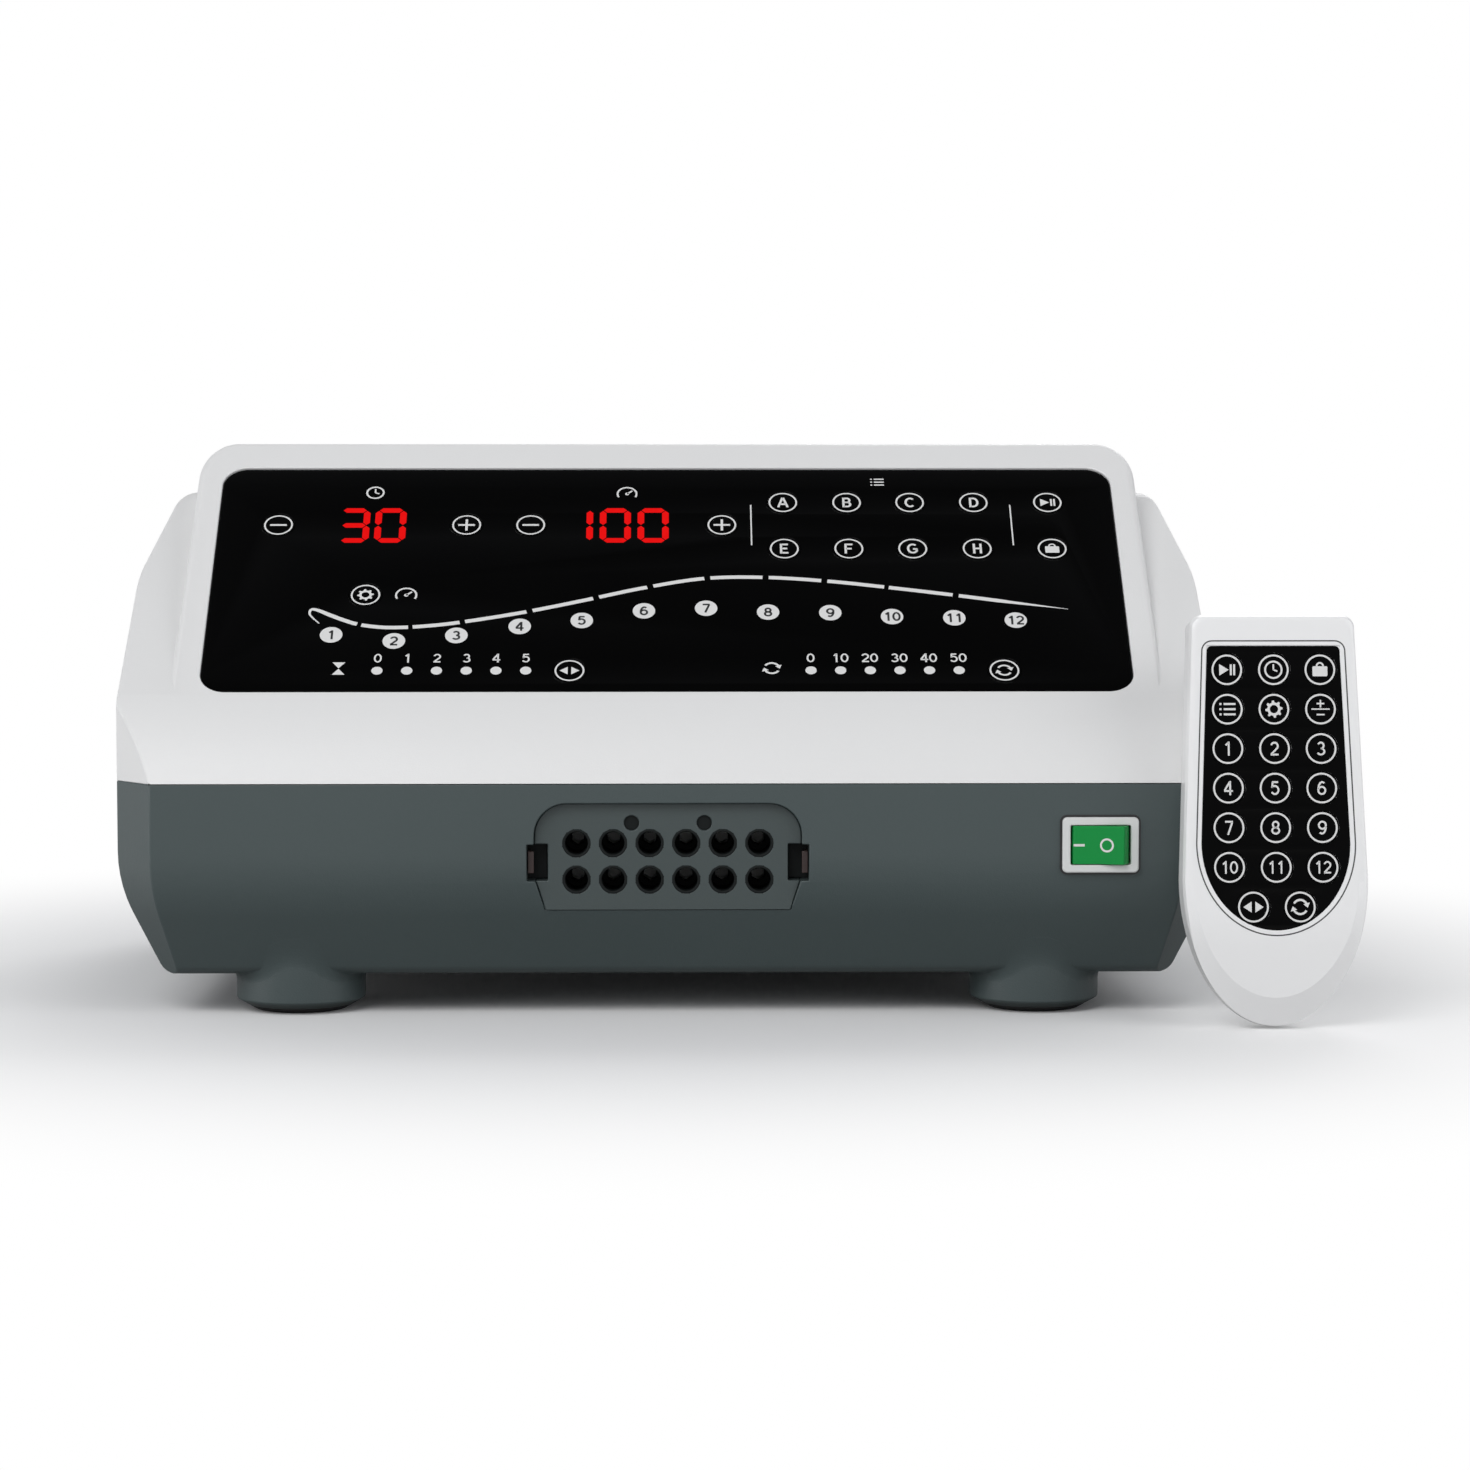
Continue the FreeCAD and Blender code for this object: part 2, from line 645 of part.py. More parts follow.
def base_form(inward):
    side = [
        (0, SEAM_Z, 0), (0, TAPER_Z, TAPER_ROUND), (TAPER, BASE_Z, BASE_ROUND),
        (DEPTH - TAPER, BASE_Z, BASE_ROUND), (DEPTH, TAPER_Z, TAPER_ROUND), (DEPTH, SEAM_Z, 0),
    ]
    front = [
        (-HALF, SEAM_Z, 0), (-HALF, TAPER_Z, TAPER_ROUND), (-HALF + TAPER, BASE_Z, BASE_ROUND),
        (HALF - TAPER, BASE_Z, BASE_ROUND), (HALF, TAPER_Z, TAPER_ROUND), (HALF, SEAM_Z, 0),
    ]
    side = offset(side, inward)
    front = offset(front, inward)
    top = SEAM_Z + (OVER / 2 if inward else 0.0)
    side = [(d, top if z > TAPER_Z + WALL else z, r) for d, z, r in side]
    front = [(x, top if z > TAPER_Z + WALL else z, r) for x, z, r in front]
    form = prism_x(side, -FAR, FAR).common(prism_y(front, -FAR, FAR))
    for slab in facets(inward, True):
        form = form.common(slab)
    return form


def plan_ring(outer_in, inner_in, z0, z1):
    """A band that follows the upright walls, between two distances inside them."""
    def plan(inward):
        corners = [
            (HALF - FACET_X, FRONT, 0), (HALF, FRONT + FACET_Y, 0),
            (HALF, BACK - FACET_Y, 0), (HALF - FACET_X, BACK, 0),
            (-HALF + FACET_X, BACK, 0), (-HALF, BACK - FACET_Y, 0),
            (-HALF, FRONT + FACET_Y, 0), (-HALF + FACET_X, FRONT, 0),
        ]
        return offset(corners, inward)
    return prism_z(plan(outer_in), z0, z1).cut(prism_z(plan(inner_in), z0 - 1, z1 + 1))


# ================================================================ console pieces
def screw_places():
    return [(sx * SCREW_X, y) for sx in (-1, 1) for y in (FRONT + SCREW_IN, BACK - SCREW_IN)]


def panel_place(u, v):
    """A place on the panel in mm, from its shares of the half width and of the length."""
    return u * PANEL_W / 2, v * PANEL_L


def panel_outline(gap=0.0):
    return rect(PANEL_W + 2 * gap, PANEL_L + 2 * gap, PANEL_R + gap, 0, PANEL_L / 2)


def board_posts():
    return [
        (su * (PANEL_W / 2 - POST_IN), v)
        for su in (-1, 1) for v in (BOARD_END + POST_EDGE, PANEL_L - BOARD_END - POST_EDGE)
    ]


def make_top_cover():
    outer = cover_form(0.0)
    inner = cover_form(WALL)
    # under the panel the wall is thicker: it holds the pocket and its ledge
    depth_in = PANEL_T + SHELF_T
    slab = on_panel(Part.makeBox(FAR, FAR, FAR, V(-FAR / 2, -FAR / 2, -depth_in)))
    inner = inner.cut(slab)
    shell = outer.cut(inner)
    # screw bosses reach from the seam up to the roof
    bosses = [
        rod_z(SCREW_BOSS_D, x, y, SEAM_Z, FAR, PIN_SIDES).common(outer) for x, y in screw_places()
    ]
    shell = fuse(shell, bosses)
    pocket = on_panel(prism_z(panel_outline(PANEL_GAP), -PANEL_T, PANEL_T * 4))
    opening = rect(PANEL_W - 2 * LEDGE_SIDE, PANEL_L - 2 * LEDGE, LEDGE_R, 0, PANEL_L / 2)
    window = on_panel(prism_z(opening, -BOARD_DROP, 1.0))
    holes = [rod_z(SCREW_D, x, y, SEAM_Z - 1, SEAM_Z + SCREW_L + SCREW_ROOM, PIN_SIDES) for x, y in screw_places()]
    shell = shell.cut([pocket, window] + holes)
    # posts for the circuit board, each with a pin through it
    posts = []
    shelf = -PANEL_T - SHELF_T
    for u, v in board_posts():
        posts.append(on_panel(rod_z(STANDOFF_D, 0, 0, -BOARD_DROP, shelf + BITE, PIN_SIDES), u, v))
        tip = -BOARD_DROP - BOARD_T - BOARD_PIN_OUT
        posts.append(on_panel(rod_z(BOARD_PIN_D, 0, 0, tip, -BOARD_DROP + 1.0, PIN_SIDES), u, v))
    shell = fuse(shell, posts)
    # rebate for the tongue of the lower housing
    lip = plan_ring(WALL / 2, WALL + 6.0, SEAM_Z - 1, SEAM_Z + LIP_H + LIP_GAP)
    for x, y in screw_places():
        lip = lip.cut(rod_z(SCREW_BOSS_D, x, y, SEAM_Z - 2, SEAM_Z + LIP_H + 2, PIN_SIDES))
    return shell.cut(lip)


def socket_corners(out=0.0):
    half = SOCKET_W / 2
    corners = [
        (-half + SOCKET_CUT_X, SOCKET_BOTTOM, 0), (half - SOCKET_CUT_X, SOCKET_BOTTOM, 0),
        (half, SOCKET_CUT_Z, SOCKET_CUT_R), (half, SOCKET_TOP, SOCKET_R), (-half, SOCKET_TOP, SOCKET_R),
        (-half, SOCKET_CUT_Z, SOCKET_CUT_R),
    ]
    return offset(corners, -out)


SOCKET_BACK = SOCKET_SUNK + SOCKET_FACE_T      # rear of the insert's face plate, from the front wall


def latch_windows(gap, d0, d1):
    return [
        block(s * LATCH_X - LATCH_W / 2 - gap, s * LATCH_X + LATCH_W / 2 + gap, FRONT + d0, FRONT + d1,
              LATCH_Z - LATCH_H / 2 - gap, LATCH_Z + LATCH_H / 2 + gap)
        for s in (-1, 1)
    ]


def foot_places():
    return [(sx * FOOT_X, y) for sx in (-1, 1) for y in (FRONT + FOOT_IN, BACK - FOOT_IN)]


def with_feet(form):
    """The outer form with its four feet, which reach up into the tapered walls."""
    feet = []
    for x, y in foot_places():
        edge_z = PAD_T + FOOT_EDGE_H
        top = BASE_Z + FOOT_D / 2
        post = rod_z(FOOT_D, x, y, edge_z, top, FOOT_SIDES)
        feet.append(post.common(block(x - FOOT_D, x + FOOT_D, FRONT + TAPER / 2, BACK - TAPER / 2, 0, top)))
        feet.append(tapered(FOOT_D - 2 * FOOT_EDGE_IN, FOOT_D, FOOT_SIDES, x, y, PAD_T, edge_z))
    return fuse(form, feet)


def make_base_housing():
    outer = base_form(0.0)
    shell = with_feet(outer).cut(base_form(WALL))
    # frame round the hose socket
    collar = prism_y(socket_corners(FLANGE_OUT + FRAME_OUT), FRONT, FRONT + SOCKET_BACK).common(outer)
    # bosses for the housing screws
    bosses = [rod_z(SCREW_BOSS_D, x, y, BASE_Z + WALL / 2, SEAM_Z, PIN_SIDES) for x, y in screw_places()]
    # stand-offs for compressor and power supply
    stands = [
        rod_z(STANDOFF_D, x, y, BASE_Z + WALL / 2, BASE_Z + WALL + SUPPLY_LIFT, PIN_SIDES) for x, y in supply_posts()
    ]
    stands += [rod_z(SUPPLY_PIN_D, x, y, BASE_Z + WALL, BASE_Z + WALL + SUPPLY_LIFT + SUPPLY_T, PIN_SIDES)
               for x, y in supply_posts()]
    shell = fuse(shell, [collar] + bosses + stands)
    # openings in the walls
    cuts = [prism_y(socket_corners(0.0), FRONT - 1, FRONT + SOCKET_BACK + 2 * OVER)]
    cuts += latch_windows(0.0, -1, SOCKET_BACK + 1)
    cuts.append(block(POWER_X - SLOT_W / 2 - SWITCH_WALL - SNAP_GAP, POWER_X + SLOT_W / 2 + SWITCH_WALL + SNAP_GAP,
                      FRONT - 1, FRONT + WALL + 1,
                      POWER_Z - SLOT_H / 2 - SWITCH_WALL - SNAP_GAP, POWER_Z + SLOT_H / 2 + SWITCH_WALL + SNAP_GAP))
    in_w = CAVITY_W + 2 * INLET_WALL + 2 * INLET_GAP
    in_h = CAVITY_H + 2 * INLET_WALL + 2 * INLET_GAP
    cuts.append(block(MAINS_X - in_w / 2, MAINS_X + in_w / 2, BACK - WALL - 1, BACK + 1,
                      MAINS_Z - in_h / 2, MAINS_Z + in_h / 2))
    for i in range(VENT_COUNT):
        x = VENT_X + (i - (VENT_COUNT - 1) / 2) * VENT_PITCH
        cuts.append(block(x - VENT_W / 2, x + VENT_W / 2, BACK - WALL - 1, BACK + 1, VENT_LOW, VENT_HIGH))
    for x, y in screw_places():
        cuts.append(rod_z(SCREW_HEAD_D + 2 * SCREW_GAP, x, y, BASE_Z - 1, SEAM_Z - SCREW_LAND, PIN_SIDES))
        cuts.append(rod_z(SCREW_D + 2 * SCREW_GAP, x, y, SEAM_Z - SCREW_LAND - 1, SEAM_Z + 1, PIN_SIDES))
    shell = shell.cut(cuts)
    tongue = plan_ring(WALL / 2 + LIP_GAP, WALL, SEAM_Z - 0.5, SEAM_Z + LIP_H)
    return fuse(shell, [tongue])


def make_foot_pads():
    return Part.makeCompound([tapered(PAD_FACE_D, PAD_D, PAD_SIDES, x, y, 0, PAD_T) for x, y in foot_places()])


def make_screws():
    screws = []
    for x, y in screw_places():
        seat = SEAM_Z - SCREW_LAND
        head = rod_z(SCREW_HEAD_D, x, y, seat - SCREW_HEAD_H, seat, PIN_SIDES)
        shank = rod_z(SCREW_D - 0.1, x, y, seat - BITE, SEAM_Z + SCREW_L, PIN_SIDES)
        screws.append(head.fuse(shank).removeSplitter())
    return Part.makeCompound(screws)


def make_control_panel():
    plate = prism_z(panel_outline(), -PANEL_T, 0)
    holes = []
    for share in CONSOLE_KEYS.values():
        u, v = panel_place(*share)
        holes.append(rod_z(KEY_D + 2 * KEY_GAP, u, v, -PANEL_T - 1, 1, KEY_SIDES))
    return on_panel(plate.cut(holes))


def make_console_key():
    cap = rod_z(KEY_D, 0, 0, -KEY_T, 0, KEY_SIDES)
    foot = BOARD_DROP - SWITCH_H - SWITCH_GAP
    return cap.fuse(rod_z(PLUNGER_D, 0, 0, -foot, -KEY_T, 4)).removeSplitter()


def make_control_board():
    outline_board = rect(PANEL_W - 2 * BOARD_IN, BOARD_L, BOARD_R, 0, PANEL_L / 2)
    board = prism_z(outline_board, -BOARD_DROP - BOARD_T, -BOARD_DROP)
    parts = []
    for share in CONSOLE_KEYS.values():
        u, v = panel_place(*share)
        parts.append(block(u - SWITCH_A / 2, u + SWITCH_A / 2, v - SWITCH_A / 2, v + SWITCH_A / 2,
                           -BOARD_DROP, -BOARD_DROP + SWITCH_H))
    dots = [(u0 + i * DOT_PITCH, ROW_FOOT) for u0 in (HOLD_DOT_U, INTERVAL_DOT_U) for i in range(DOTS)]
    for share in CHAMBER_LAMPS + dots:
        u, v = panel_place(*share)
        parts.append(block(u - LAMP_A / 2, u + LAMP_A / 2, v - LAMP_A / 2, v + LAMP_A / 2,
                           -BOARD_DROP, -BOARD_DROP + LAMP_H))
    board = fuse(board, parts)
    holes = [rod_z(BOARD_PIN_D + 2 * HOLE_GAP, u, v, -BOARD_DROP - BOARD_T - 1, -BOARD_DROP + 1, PIN_SIDES)
             for u, v in board_posts()]
    return on_panel(board.cut(holes))


def make_led_displays():
    blocks = []
    for share, w in DISPLAYS:
        u, v = panel_place(share, ROW_DISPLAY)
        blocks.append(block(u - w / 2, u + w / 2, v - DISPLAY_H / 2, v + DISPLAY_H / 2, -BOARD_DROP, -PANEL_T))
    return on_panel(Part.makeCompound(blocks))


# ---------------------------------------------------------------- hose socket and air distributor
def port_places():
    for row in range(PORT_ROWS):
        for col in range(PORT_COLS):
            yield (col - (PORT_COLS - 1) / 2) * PORT_PITCH, PORT_TOP_Z - row * PORT_PITCH


def port_block(grow=0.0):
    xs = [p[0] for p in port_places()]
    zs = [p[1] for p in port_places()]
    half = PORT_D / 2 + PORT_WALL + grow
    return min(xs) - half, max(xs) + half, min(zs) - half, max(zs) + half


SOCKET_END = SOCKET_SUNK + PORT_DEEP + PORT_END     # rear face of the port block


def make_hose_socket():
    face = prism_y(socket_corners(-SOCKET_GAP), FRONT + SOCKET_SUNK, FRONT + SOCKET_BACK + BITE)
    flange = prism_y(socket_corners(FLANGE_OUT), FRONT + SOCKET_BACK, FRONT + SOCKET_BACK + FLANGE_T)
    x0, x1, z0, z1 = port_block()
    body = block(x0, x1, FRONT + SOCKET_BACK, FRONT + SOCKET_END, z0, z1)
    socket = fuse(face, [flange, body])
    cuts = []
    for x, z in port_places():
        cuts.append(rod_y(PORT_D, x, z, FRONT + SOCKET_SUNK - 1, FRONT + SOCKET_SUNK + PORT_DEEP, KEY_SIDES))
        cuts.append(rod_y(AIR_BORE_D, x, z, FRONT + SOCKET_SUNK + PORT_DEEP - 1, FRONT + SOCKET_END + 1, PIN_SIDES))
    for s in (-1, 1):
        cuts.append(rod_y(DIMPLE_D, s * DIMPLE_X, DIMPLE_Z, FRONT, FRONT + SOCKET_SUNK + DIMPLE_DEEP, KEY_SIDES))
    cuts += latch_windows(0.0, -1, SOCKET_BACK)
    return socket.cut(cuts)


def make_latch_clips():
    clips = []
    for s in (-1, 1):
        outer = s * (LATCH_X + LATCH_W / 2 - CLIP_GAP)
        inner = s * (LATCH_X - LATCH_W / 2 + CLIP_GAP)
        z0 = LATCH_Z - LATCH_H / 2 + CLIP_GAP
        z1 = LATCH_Z + LATCH_H / 2 - CLIP_GAP
        back = FRONT + SOCKET_BACK
        plate = block(min(outer, inner), max(outer, inner), back - CLIP_T, back, z0, z1)
        arm = block(min(outer, outer - s * CLIP_T), max(outer, outer - s * CLIP_T),
                    back - LATCH_DEEP, back - CLIP_T + 0.2, z0 + CLIP_ARM_IN, z1 - CLIP_ARM_IN)
        hook_x = outer - s * (CLIP_T + CLIP_HOOK)
        hook = block(min(outer, hook_x), max(outer, hook_x), back - LATCH_DEEP, back - LATCH_DEEP + CLIP_T,
                     z0 + CLIP_ARM_IN, z1 - CLIP_ARM_IN)
        clips.append(fuse(plate, [arm, hook]))
    return Part.makeCompound(clips)


def distributor_middle():
    zs = [p[1] for p in port_places()]
    return (min(zs) + max(zs)) / 2


def inlet_place():
    """Air inlet nozzle in the back of the distributor block: x and z."""
    return port_block()[0] + INLET_IN, distributor_middle()


def make_valve_block():
    x0, x1, z0, z1 = port_block()
    zc = distributor_middle()
    y0 = FRONT + SOCKET_END
    y1 = y0 + BLOCK_T
    body = block(x0, x1, y0, y1, zc - BLOCK_H / 2, zc + BLOCK_H / 2)
    drum = rod_y(CHAMBER_D + 2 * CHAMBER_WALL, 0, zc, y1 - BITE, y1 + CHAMBER_T, DRUM_SIDES)
    x, z = inlet_place()
    nozzle = rod_y(NOZZLE_D, x, z, y1 - 1, y1 + NOZZLE_L, PIN_SIDES)
    body = fuse(body, [drum, nozzle])
    cuts = [rod_y(CHAMBER_D, 0, zc, y1, y1 + CHAMBER_T + 1, DRUM_SIDES),
            rod_y(SHAFT_D + 2 * SHAFT_GAP, 0, zc, y1 - SHAFT_IN - 1, y1 + 1),
            rod_y(HOSE_BORE / 2, x, z, y0 + BLOCK_T / 3, y1 + NOZZLE_L + 1, PIN_SIDES)]
    for x, z in port_places():
        cuts.append(rod_y(AIR_BORE_D, x, z, y0 - 1, y0 + BLOCK_T / 3, PIN_SIDES))
    return body.cut(cuts)


def rotor_span():
    y1 = FRONT + SOCKET_END + BLOCK_T
    return y1 + ROTOR_GAP, y1 + ROTOR_GAP + ROTOR_T


def make_valve_rotor():
    zc = distributor_middle()
    y0, y1 = rotor_span()
    disc = rod_y(ROTOR_D, 0, zc, y0, y1, DRUM_SIDES)
    end = FRONT + SOCKET_END + BLOCK_T + CHAMBER_T + MOTOR_FLANGE_T
    shaft = rod_y(SHAFT_D, 0, zc, y0 - ROTOR_GAP - SHAFT_IN, end)
    rotor = fuse(disc, [shaft])
    # the slot that feeds one chamber after the other
    slot = block(-ROTOR_SLOT_W / 2, ROTOR_SLOT_W / 2, y0 - 1, y0 + ROTOR_T / 2,
                 zc + ROTOR_D / 2 - ROTOR_SLOT_L, zc + ROTOR_D / 2 + 1)
    return rotor.cut(slot)


def make_valve_motor():
    zc = distributor_middle()
    y0 = FRONT + SOCKET_END + BLOCK_T + CHAMBER_T
    flange = rod_y(CHAMBER_D + 2 * CHAMBER_WALL, 0, zc, y0, y0 + MOTOR_FLANGE_T, DRUM_SIDES)
    end = y0 + MOTOR_FLANGE_T + MOTOR_L
    case = rod_y(MOTOR_D, 0, zc, y0 + MOTOR_FLANGE_T - BITE, end, DRUM_SIDES)
    cap = rod_y(MOTOR_D / 3, 0, zc, end - BITE, end + MOTOR_CAP_L, PIN_SIDES)
    motor = fuse(flange, [case, cap])
    return motor.cut(rod_y(SHAFT_D + 2 * SHAFT_GAP, 0, zc, y0 - 1, y0 + MOTOR_FLANGE_T + 0.2))


def make_compressor():
    z0 = BASE_Z + WALL + PUMP_LIFT
    body = prism_z(rect(PUMP_W, PUMP_L, PUMP_R, PUMP_X, PUMP_Y), z0, z0 + PUMP_H)
    head = prism_z(rect(PUMP_W - 2 * PUMP_HEAD_IN, PUMP_HEAD + 2, 0, PUMP_X, PUMP_Y - PUMP_L / 2 - PUMP_HEAD / 2 + 1),
                   z0 + PUMP_HEAD_LOW, z0 + PUMP_H - PUMP_HEAD_LOW)
    mounts = [
        rod_z(MOUNT_D, PUMP_X + sx * (PUMP_W / 2 - MOUNT_IN), PUMP_Y + sy * (PUMP_L / 2 - MOUNT_IN),
              BASE_Z + WALL, z0 + 1, PIN_SIDES)
        for sx in (-1, 1) for sy in (-1, 1)
    ]
    x, z = inlet_place()
    tip = PUMP_Y - PUMP_L / 2 - PUMP_HEAD - NOZZLE_L
    nozzle = rod_y(NOZZLE_D, x, z, tip, tip + NOZZLE_L + 2, PIN_SIDES)
    # cooling fins on the motor half
    fins = [
        block(PUMP_X - PUMP_W / 2 + FIN_IN, PUMP_X + PUMP_W / 2 - FIN_IN, y, y + FIN_T,
              z0 + PUMP_H - 1, z0 + PUMP_H + FIN_H)
        for y in (PUMP_Y + FIN_IN + i * FIN_PITCH for i in range(FIN_COUNT))
    ]
    return fuse(body, [head, nozzle] + mounts + fins)


def make_air_hose():
    """Straight from the compressor's nozzle to the distributor's nozzle."""
    x, z = inlet_place()
    y0 = FRONT + SOCKET_END + BLOCK_T + NOZZLE_L
    y1 = PUMP_Y - PUMP_L / 2 - PUMP_HEAD - NOZZLE_L
    return rod_y(HOSE_D, x, z, y0, y1, KEY_SIDES).cut(rod_y(HOSE_BORE, x, z, y0 - 1, y1 + 1, PIN_SIDES))


def supply_posts():
    return [
        (SUPPLY_X + sx * (SUPPLY_W / 2 - SUPPLY_PIN_IN), SUPPLY_Y + sy * (SUPPLY_L / 2 - SUPPLY_PIN_IN))
        for sx in (-1, 1) for sy in (-1, 1)
    ]


def make_power_supply():
    z0 = BASE_Z + WALL + SUPPLY_LIFT
    z1 = z0 + SUPPLY_T
    board = prism_z(rect(SUPPLY_W, SUPPLY_L, SUPPLY_R, SUPPLY_X, SUPPLY_Y), z0, z1)
    sunk = SUPPLY_T / 8
    parts = []
    for dx, dy, w, l, h in SUPPLY_BLOCKS:
        x, y = SUPPLY_X + dx, SUPPLY_Y + dy
        parts.append(block(x - w / 2, x + w / 2, y - l / 2, y + l / 2, z1 - sunk, z1 + h))
    for dx, dy, d, h in SUPPLY_CANS:
        parts.append(rod_z(d, SUPPLY_X + dx, SUPPLY_Y + dy, z1 - sunk, z1 + h, PIN_SIDES))
    board = fuse(board, parts)
    return board.cut([rod_z(SUPPLY_PIN_D + 2 * HOLE_GAP, x, y, z0 - 1, z1 + 1, PIN_SIDES) for x, y in supply_posts()])


# ---------------------------------------------------------------- power switch
def rocker_axis():
    return V(POWER_X, FRONT - BEZEL_T + ROCKER_IN, POWER_Z)


def make_switch_frame():
    axis = rocker_axis()
    bezel = prism_y(rect(BEZEL_W, BEZEL_H, BEZEL_R, POWER_X, POWER_Z), FRONT - BEZEL_T, FRONT)
    body = block(POWER_X - SLOT_W / 2 - SWITCH_WALL, POWER_X + SLOT_W / 2 + SWITCH_WALL, FRONT - 0.2,
                 FRONT + SWITCH_BODY_L, POWER_Z - SLOT_H / 2 - SWITCH_WALL, POWER_Z + SLOT_H / 2 + SWITCH_WALL)
    frame = fuse(bezel, [body])
    well = block(POWER_X - SLOT_W / 2, POWER_X + SLOT_W / 2, FRONT - BEZEL_T - 1, axis.y + ROCKER_R + WELL_GAP,
                 POWER_Z - SLOT_H / 2, POWER_Z + SLOT_H / 2)
    reach = SLOT_H + 2 * (PIVOT_OUT + PIVOT_END_GAP)
    pivots = rod_z(PIVOT_D + 2 * PIVOT_GAP, axis.x, axis.y, POWER_Z - reach / 2, POWER_Z + reach / 2, PIN_SIDES)
    end = FRONT + SWITCH_BODY_L
    tabs = [block(POWER_X + dx - TAB_T / 2, POWER_X + dx + TAB_T / 2, end - BITE, end + TAB_L,
                  POWER_Z - TAB_H / 2, POWER_Z + TAB_H / 2) for dx in (-TAB_X, TAB_X)]
    return fuse(frame.cut([well, pivots]), tabs)


def make_power_rocker():
    axis = rocker_axis()
    lift = math.tan(math.radians(ROCKER_ANGLE))
    reach = ROCKER_R + 3
    pts = [(-reach, -ROCKER_RISE - reach * lift, 0), (0, -ROCKER_RISE, 0), (reach, -ROCKER_RISE - reach * lift, 0),
           (reach, ROCKER_BACK, 0), (-reach, ROCKER_BACK, 0)]
    vee = prism_z(pts, -ROCKER_H / 2, ROCKER_H / 2)
    rocker = vee.common(rod_z(2 * ROCKER_R, 0, 0, -ROCKER_H / 2, ROCKER_H / 2))
    reach = SLOT_H + 2 * PIVOT_OUT
    rocker = fuse(rocker, [rod_z(PIVOT_D, 0, 0, -reach / 2, reach / 2)])
    rocker.rotate(V(0, 0, 0), V(0, 0, 1), -ROCKER_ANGLE)
    rocker.translate(axis)
    return rocker


# ---------------------------------------------------------------- mains inlet
def make_mains_inlet():
    flange = prism_y(rect(INLET_W, INLET_H, INLET_R, MAINS_X, MAINS_Z), BACK, BACK + INLET_T)
    w = CAVITY_W + 2 * INLET_WALL
    h = CAVITY_H + 2 * INLET_WALL
    body = block(MAINS_X - w / 2, MAINS_X + w / 2, BACK - CAVITY_L - INLET_WALL, BACK + 0.2,
                 MAINS_Z - h / 2, MAINS_Z + h / 2)
    inlet = fuse(flange, [body])
    hw = CAVITY_W / 2
    hh = CAVITY_H / 2
    corners = [(MAINS_X + x, MAINS_Z + z, r) for x, z, r in (
        (-hw, -hh, CAVITY_R), (hw, -hh, CAVITY_R), (hw, hh - CAVITY_CUT, 0), (hw - CAVITY_CUT, hh, 0),
        (CAVITY_CUT - hw, hh, 0), (-hw, hh - CAVITY_CUT, 0))]
    floor = BACK + INLET_T - CAVITY_L
    inlet = inlet.cut(prism_y(corners, floor, BACK + INLET_T + 1))
    holes = [rod_y(INLET_HOLE_D, MAINS_X + s * (INLET_W / 2 - INLET_HOLE_IN), MAINS_Z, BACK - 1, BACK + INLET_T + 1,
                   PIN_SIDES) for s in (-1, 1)]
    inlet = inlet.cut(holes)
    pins = []
    for dx, dz in ((-PIN_X, -PIN_Z), (PIN_X, -PIN_Z), (0, PIN_Z)):
        pins.append(block(MAINS_X + dx - PIN_W / 2, MAINS_X + dx + PIN_W / 2, floor - BITE, floor + PIN_L,
                          MAINS_Z + dz - PIN_H / 2, MAINS_Z + dz + PIN_H / 2))
    return fuse(inlet, pins)


# ================================================================ remote control
# Drawn flat: x across, y from the round lower end to the top end, z from the back face to the front.
REMOTE_TURN = FreeCAD.Rotation(V(1, 0, 0), 90.0 - REMOTE_LEAN)


def stand_remote(shape):
    """Takes a shape of the flat remote to its place, leaning on the console's front corner."""
    shape = shape.copy()
    base = V(REMOTE_X, FRONT - REMOTE_AHEAD, remote_base_z())
    shape.Placement = FreeCAD.Placement(base, REMOTE_TURN).multiply(shape.Placement)
    return shape


def remote_base_z():
    """Height of the flat remote's corner (y = 0, z = 0) that puts its lowest point just above the table."""
    lean = math.radians(REMOTE_LEAN)
    z, drawn = REMOTE_BACK_STEPS[-1]
    return REMOTE_LIFT - z * math.sin(lean)


def remote_outline(inward, z):
    """Plan outline: flat top end with round corners, sides that widen downward, round lower end."""
    half = REMOTE_W / 2 - inward
    top_half = REMOTE_TOP_W / 2 - inward
    top = REMOTE_L - inward
    r = REMOTE_CORNER
    skew = r / math.sqrt(2)
    corner = V(top_half - r + skew, top - r + skew, z)
    a = V(half, REMOTE_CHIN, z)
    b = V(top_half, top - r, z)
    c = V(top_half - r, top, z)
    mirror = V(-1, 1, 1)
    d, e, f, other = (V(p.x * mirror.x, p.y, p.z) for p in (c, b, a, corner))
    oval = Part.Ellipse(V(0, inward, z), V(half, REMOTE_CHIN, z), V(0, REMOTE_CHIN, z))
    edges = [
        Part.LineSegment(a, b).toShape(), Part.Arc(b, corner, c).toShape(), Part.LineSegment(c, d).toShape(),
        Part.Arc(d, other, e).toShape(), Part.LineSegment(e, f).toShape(), oval.toShape(-math.pi / 2, math.pi / 2),
    ]
    return Part.Wire(Part.__sortEdges__(edges))


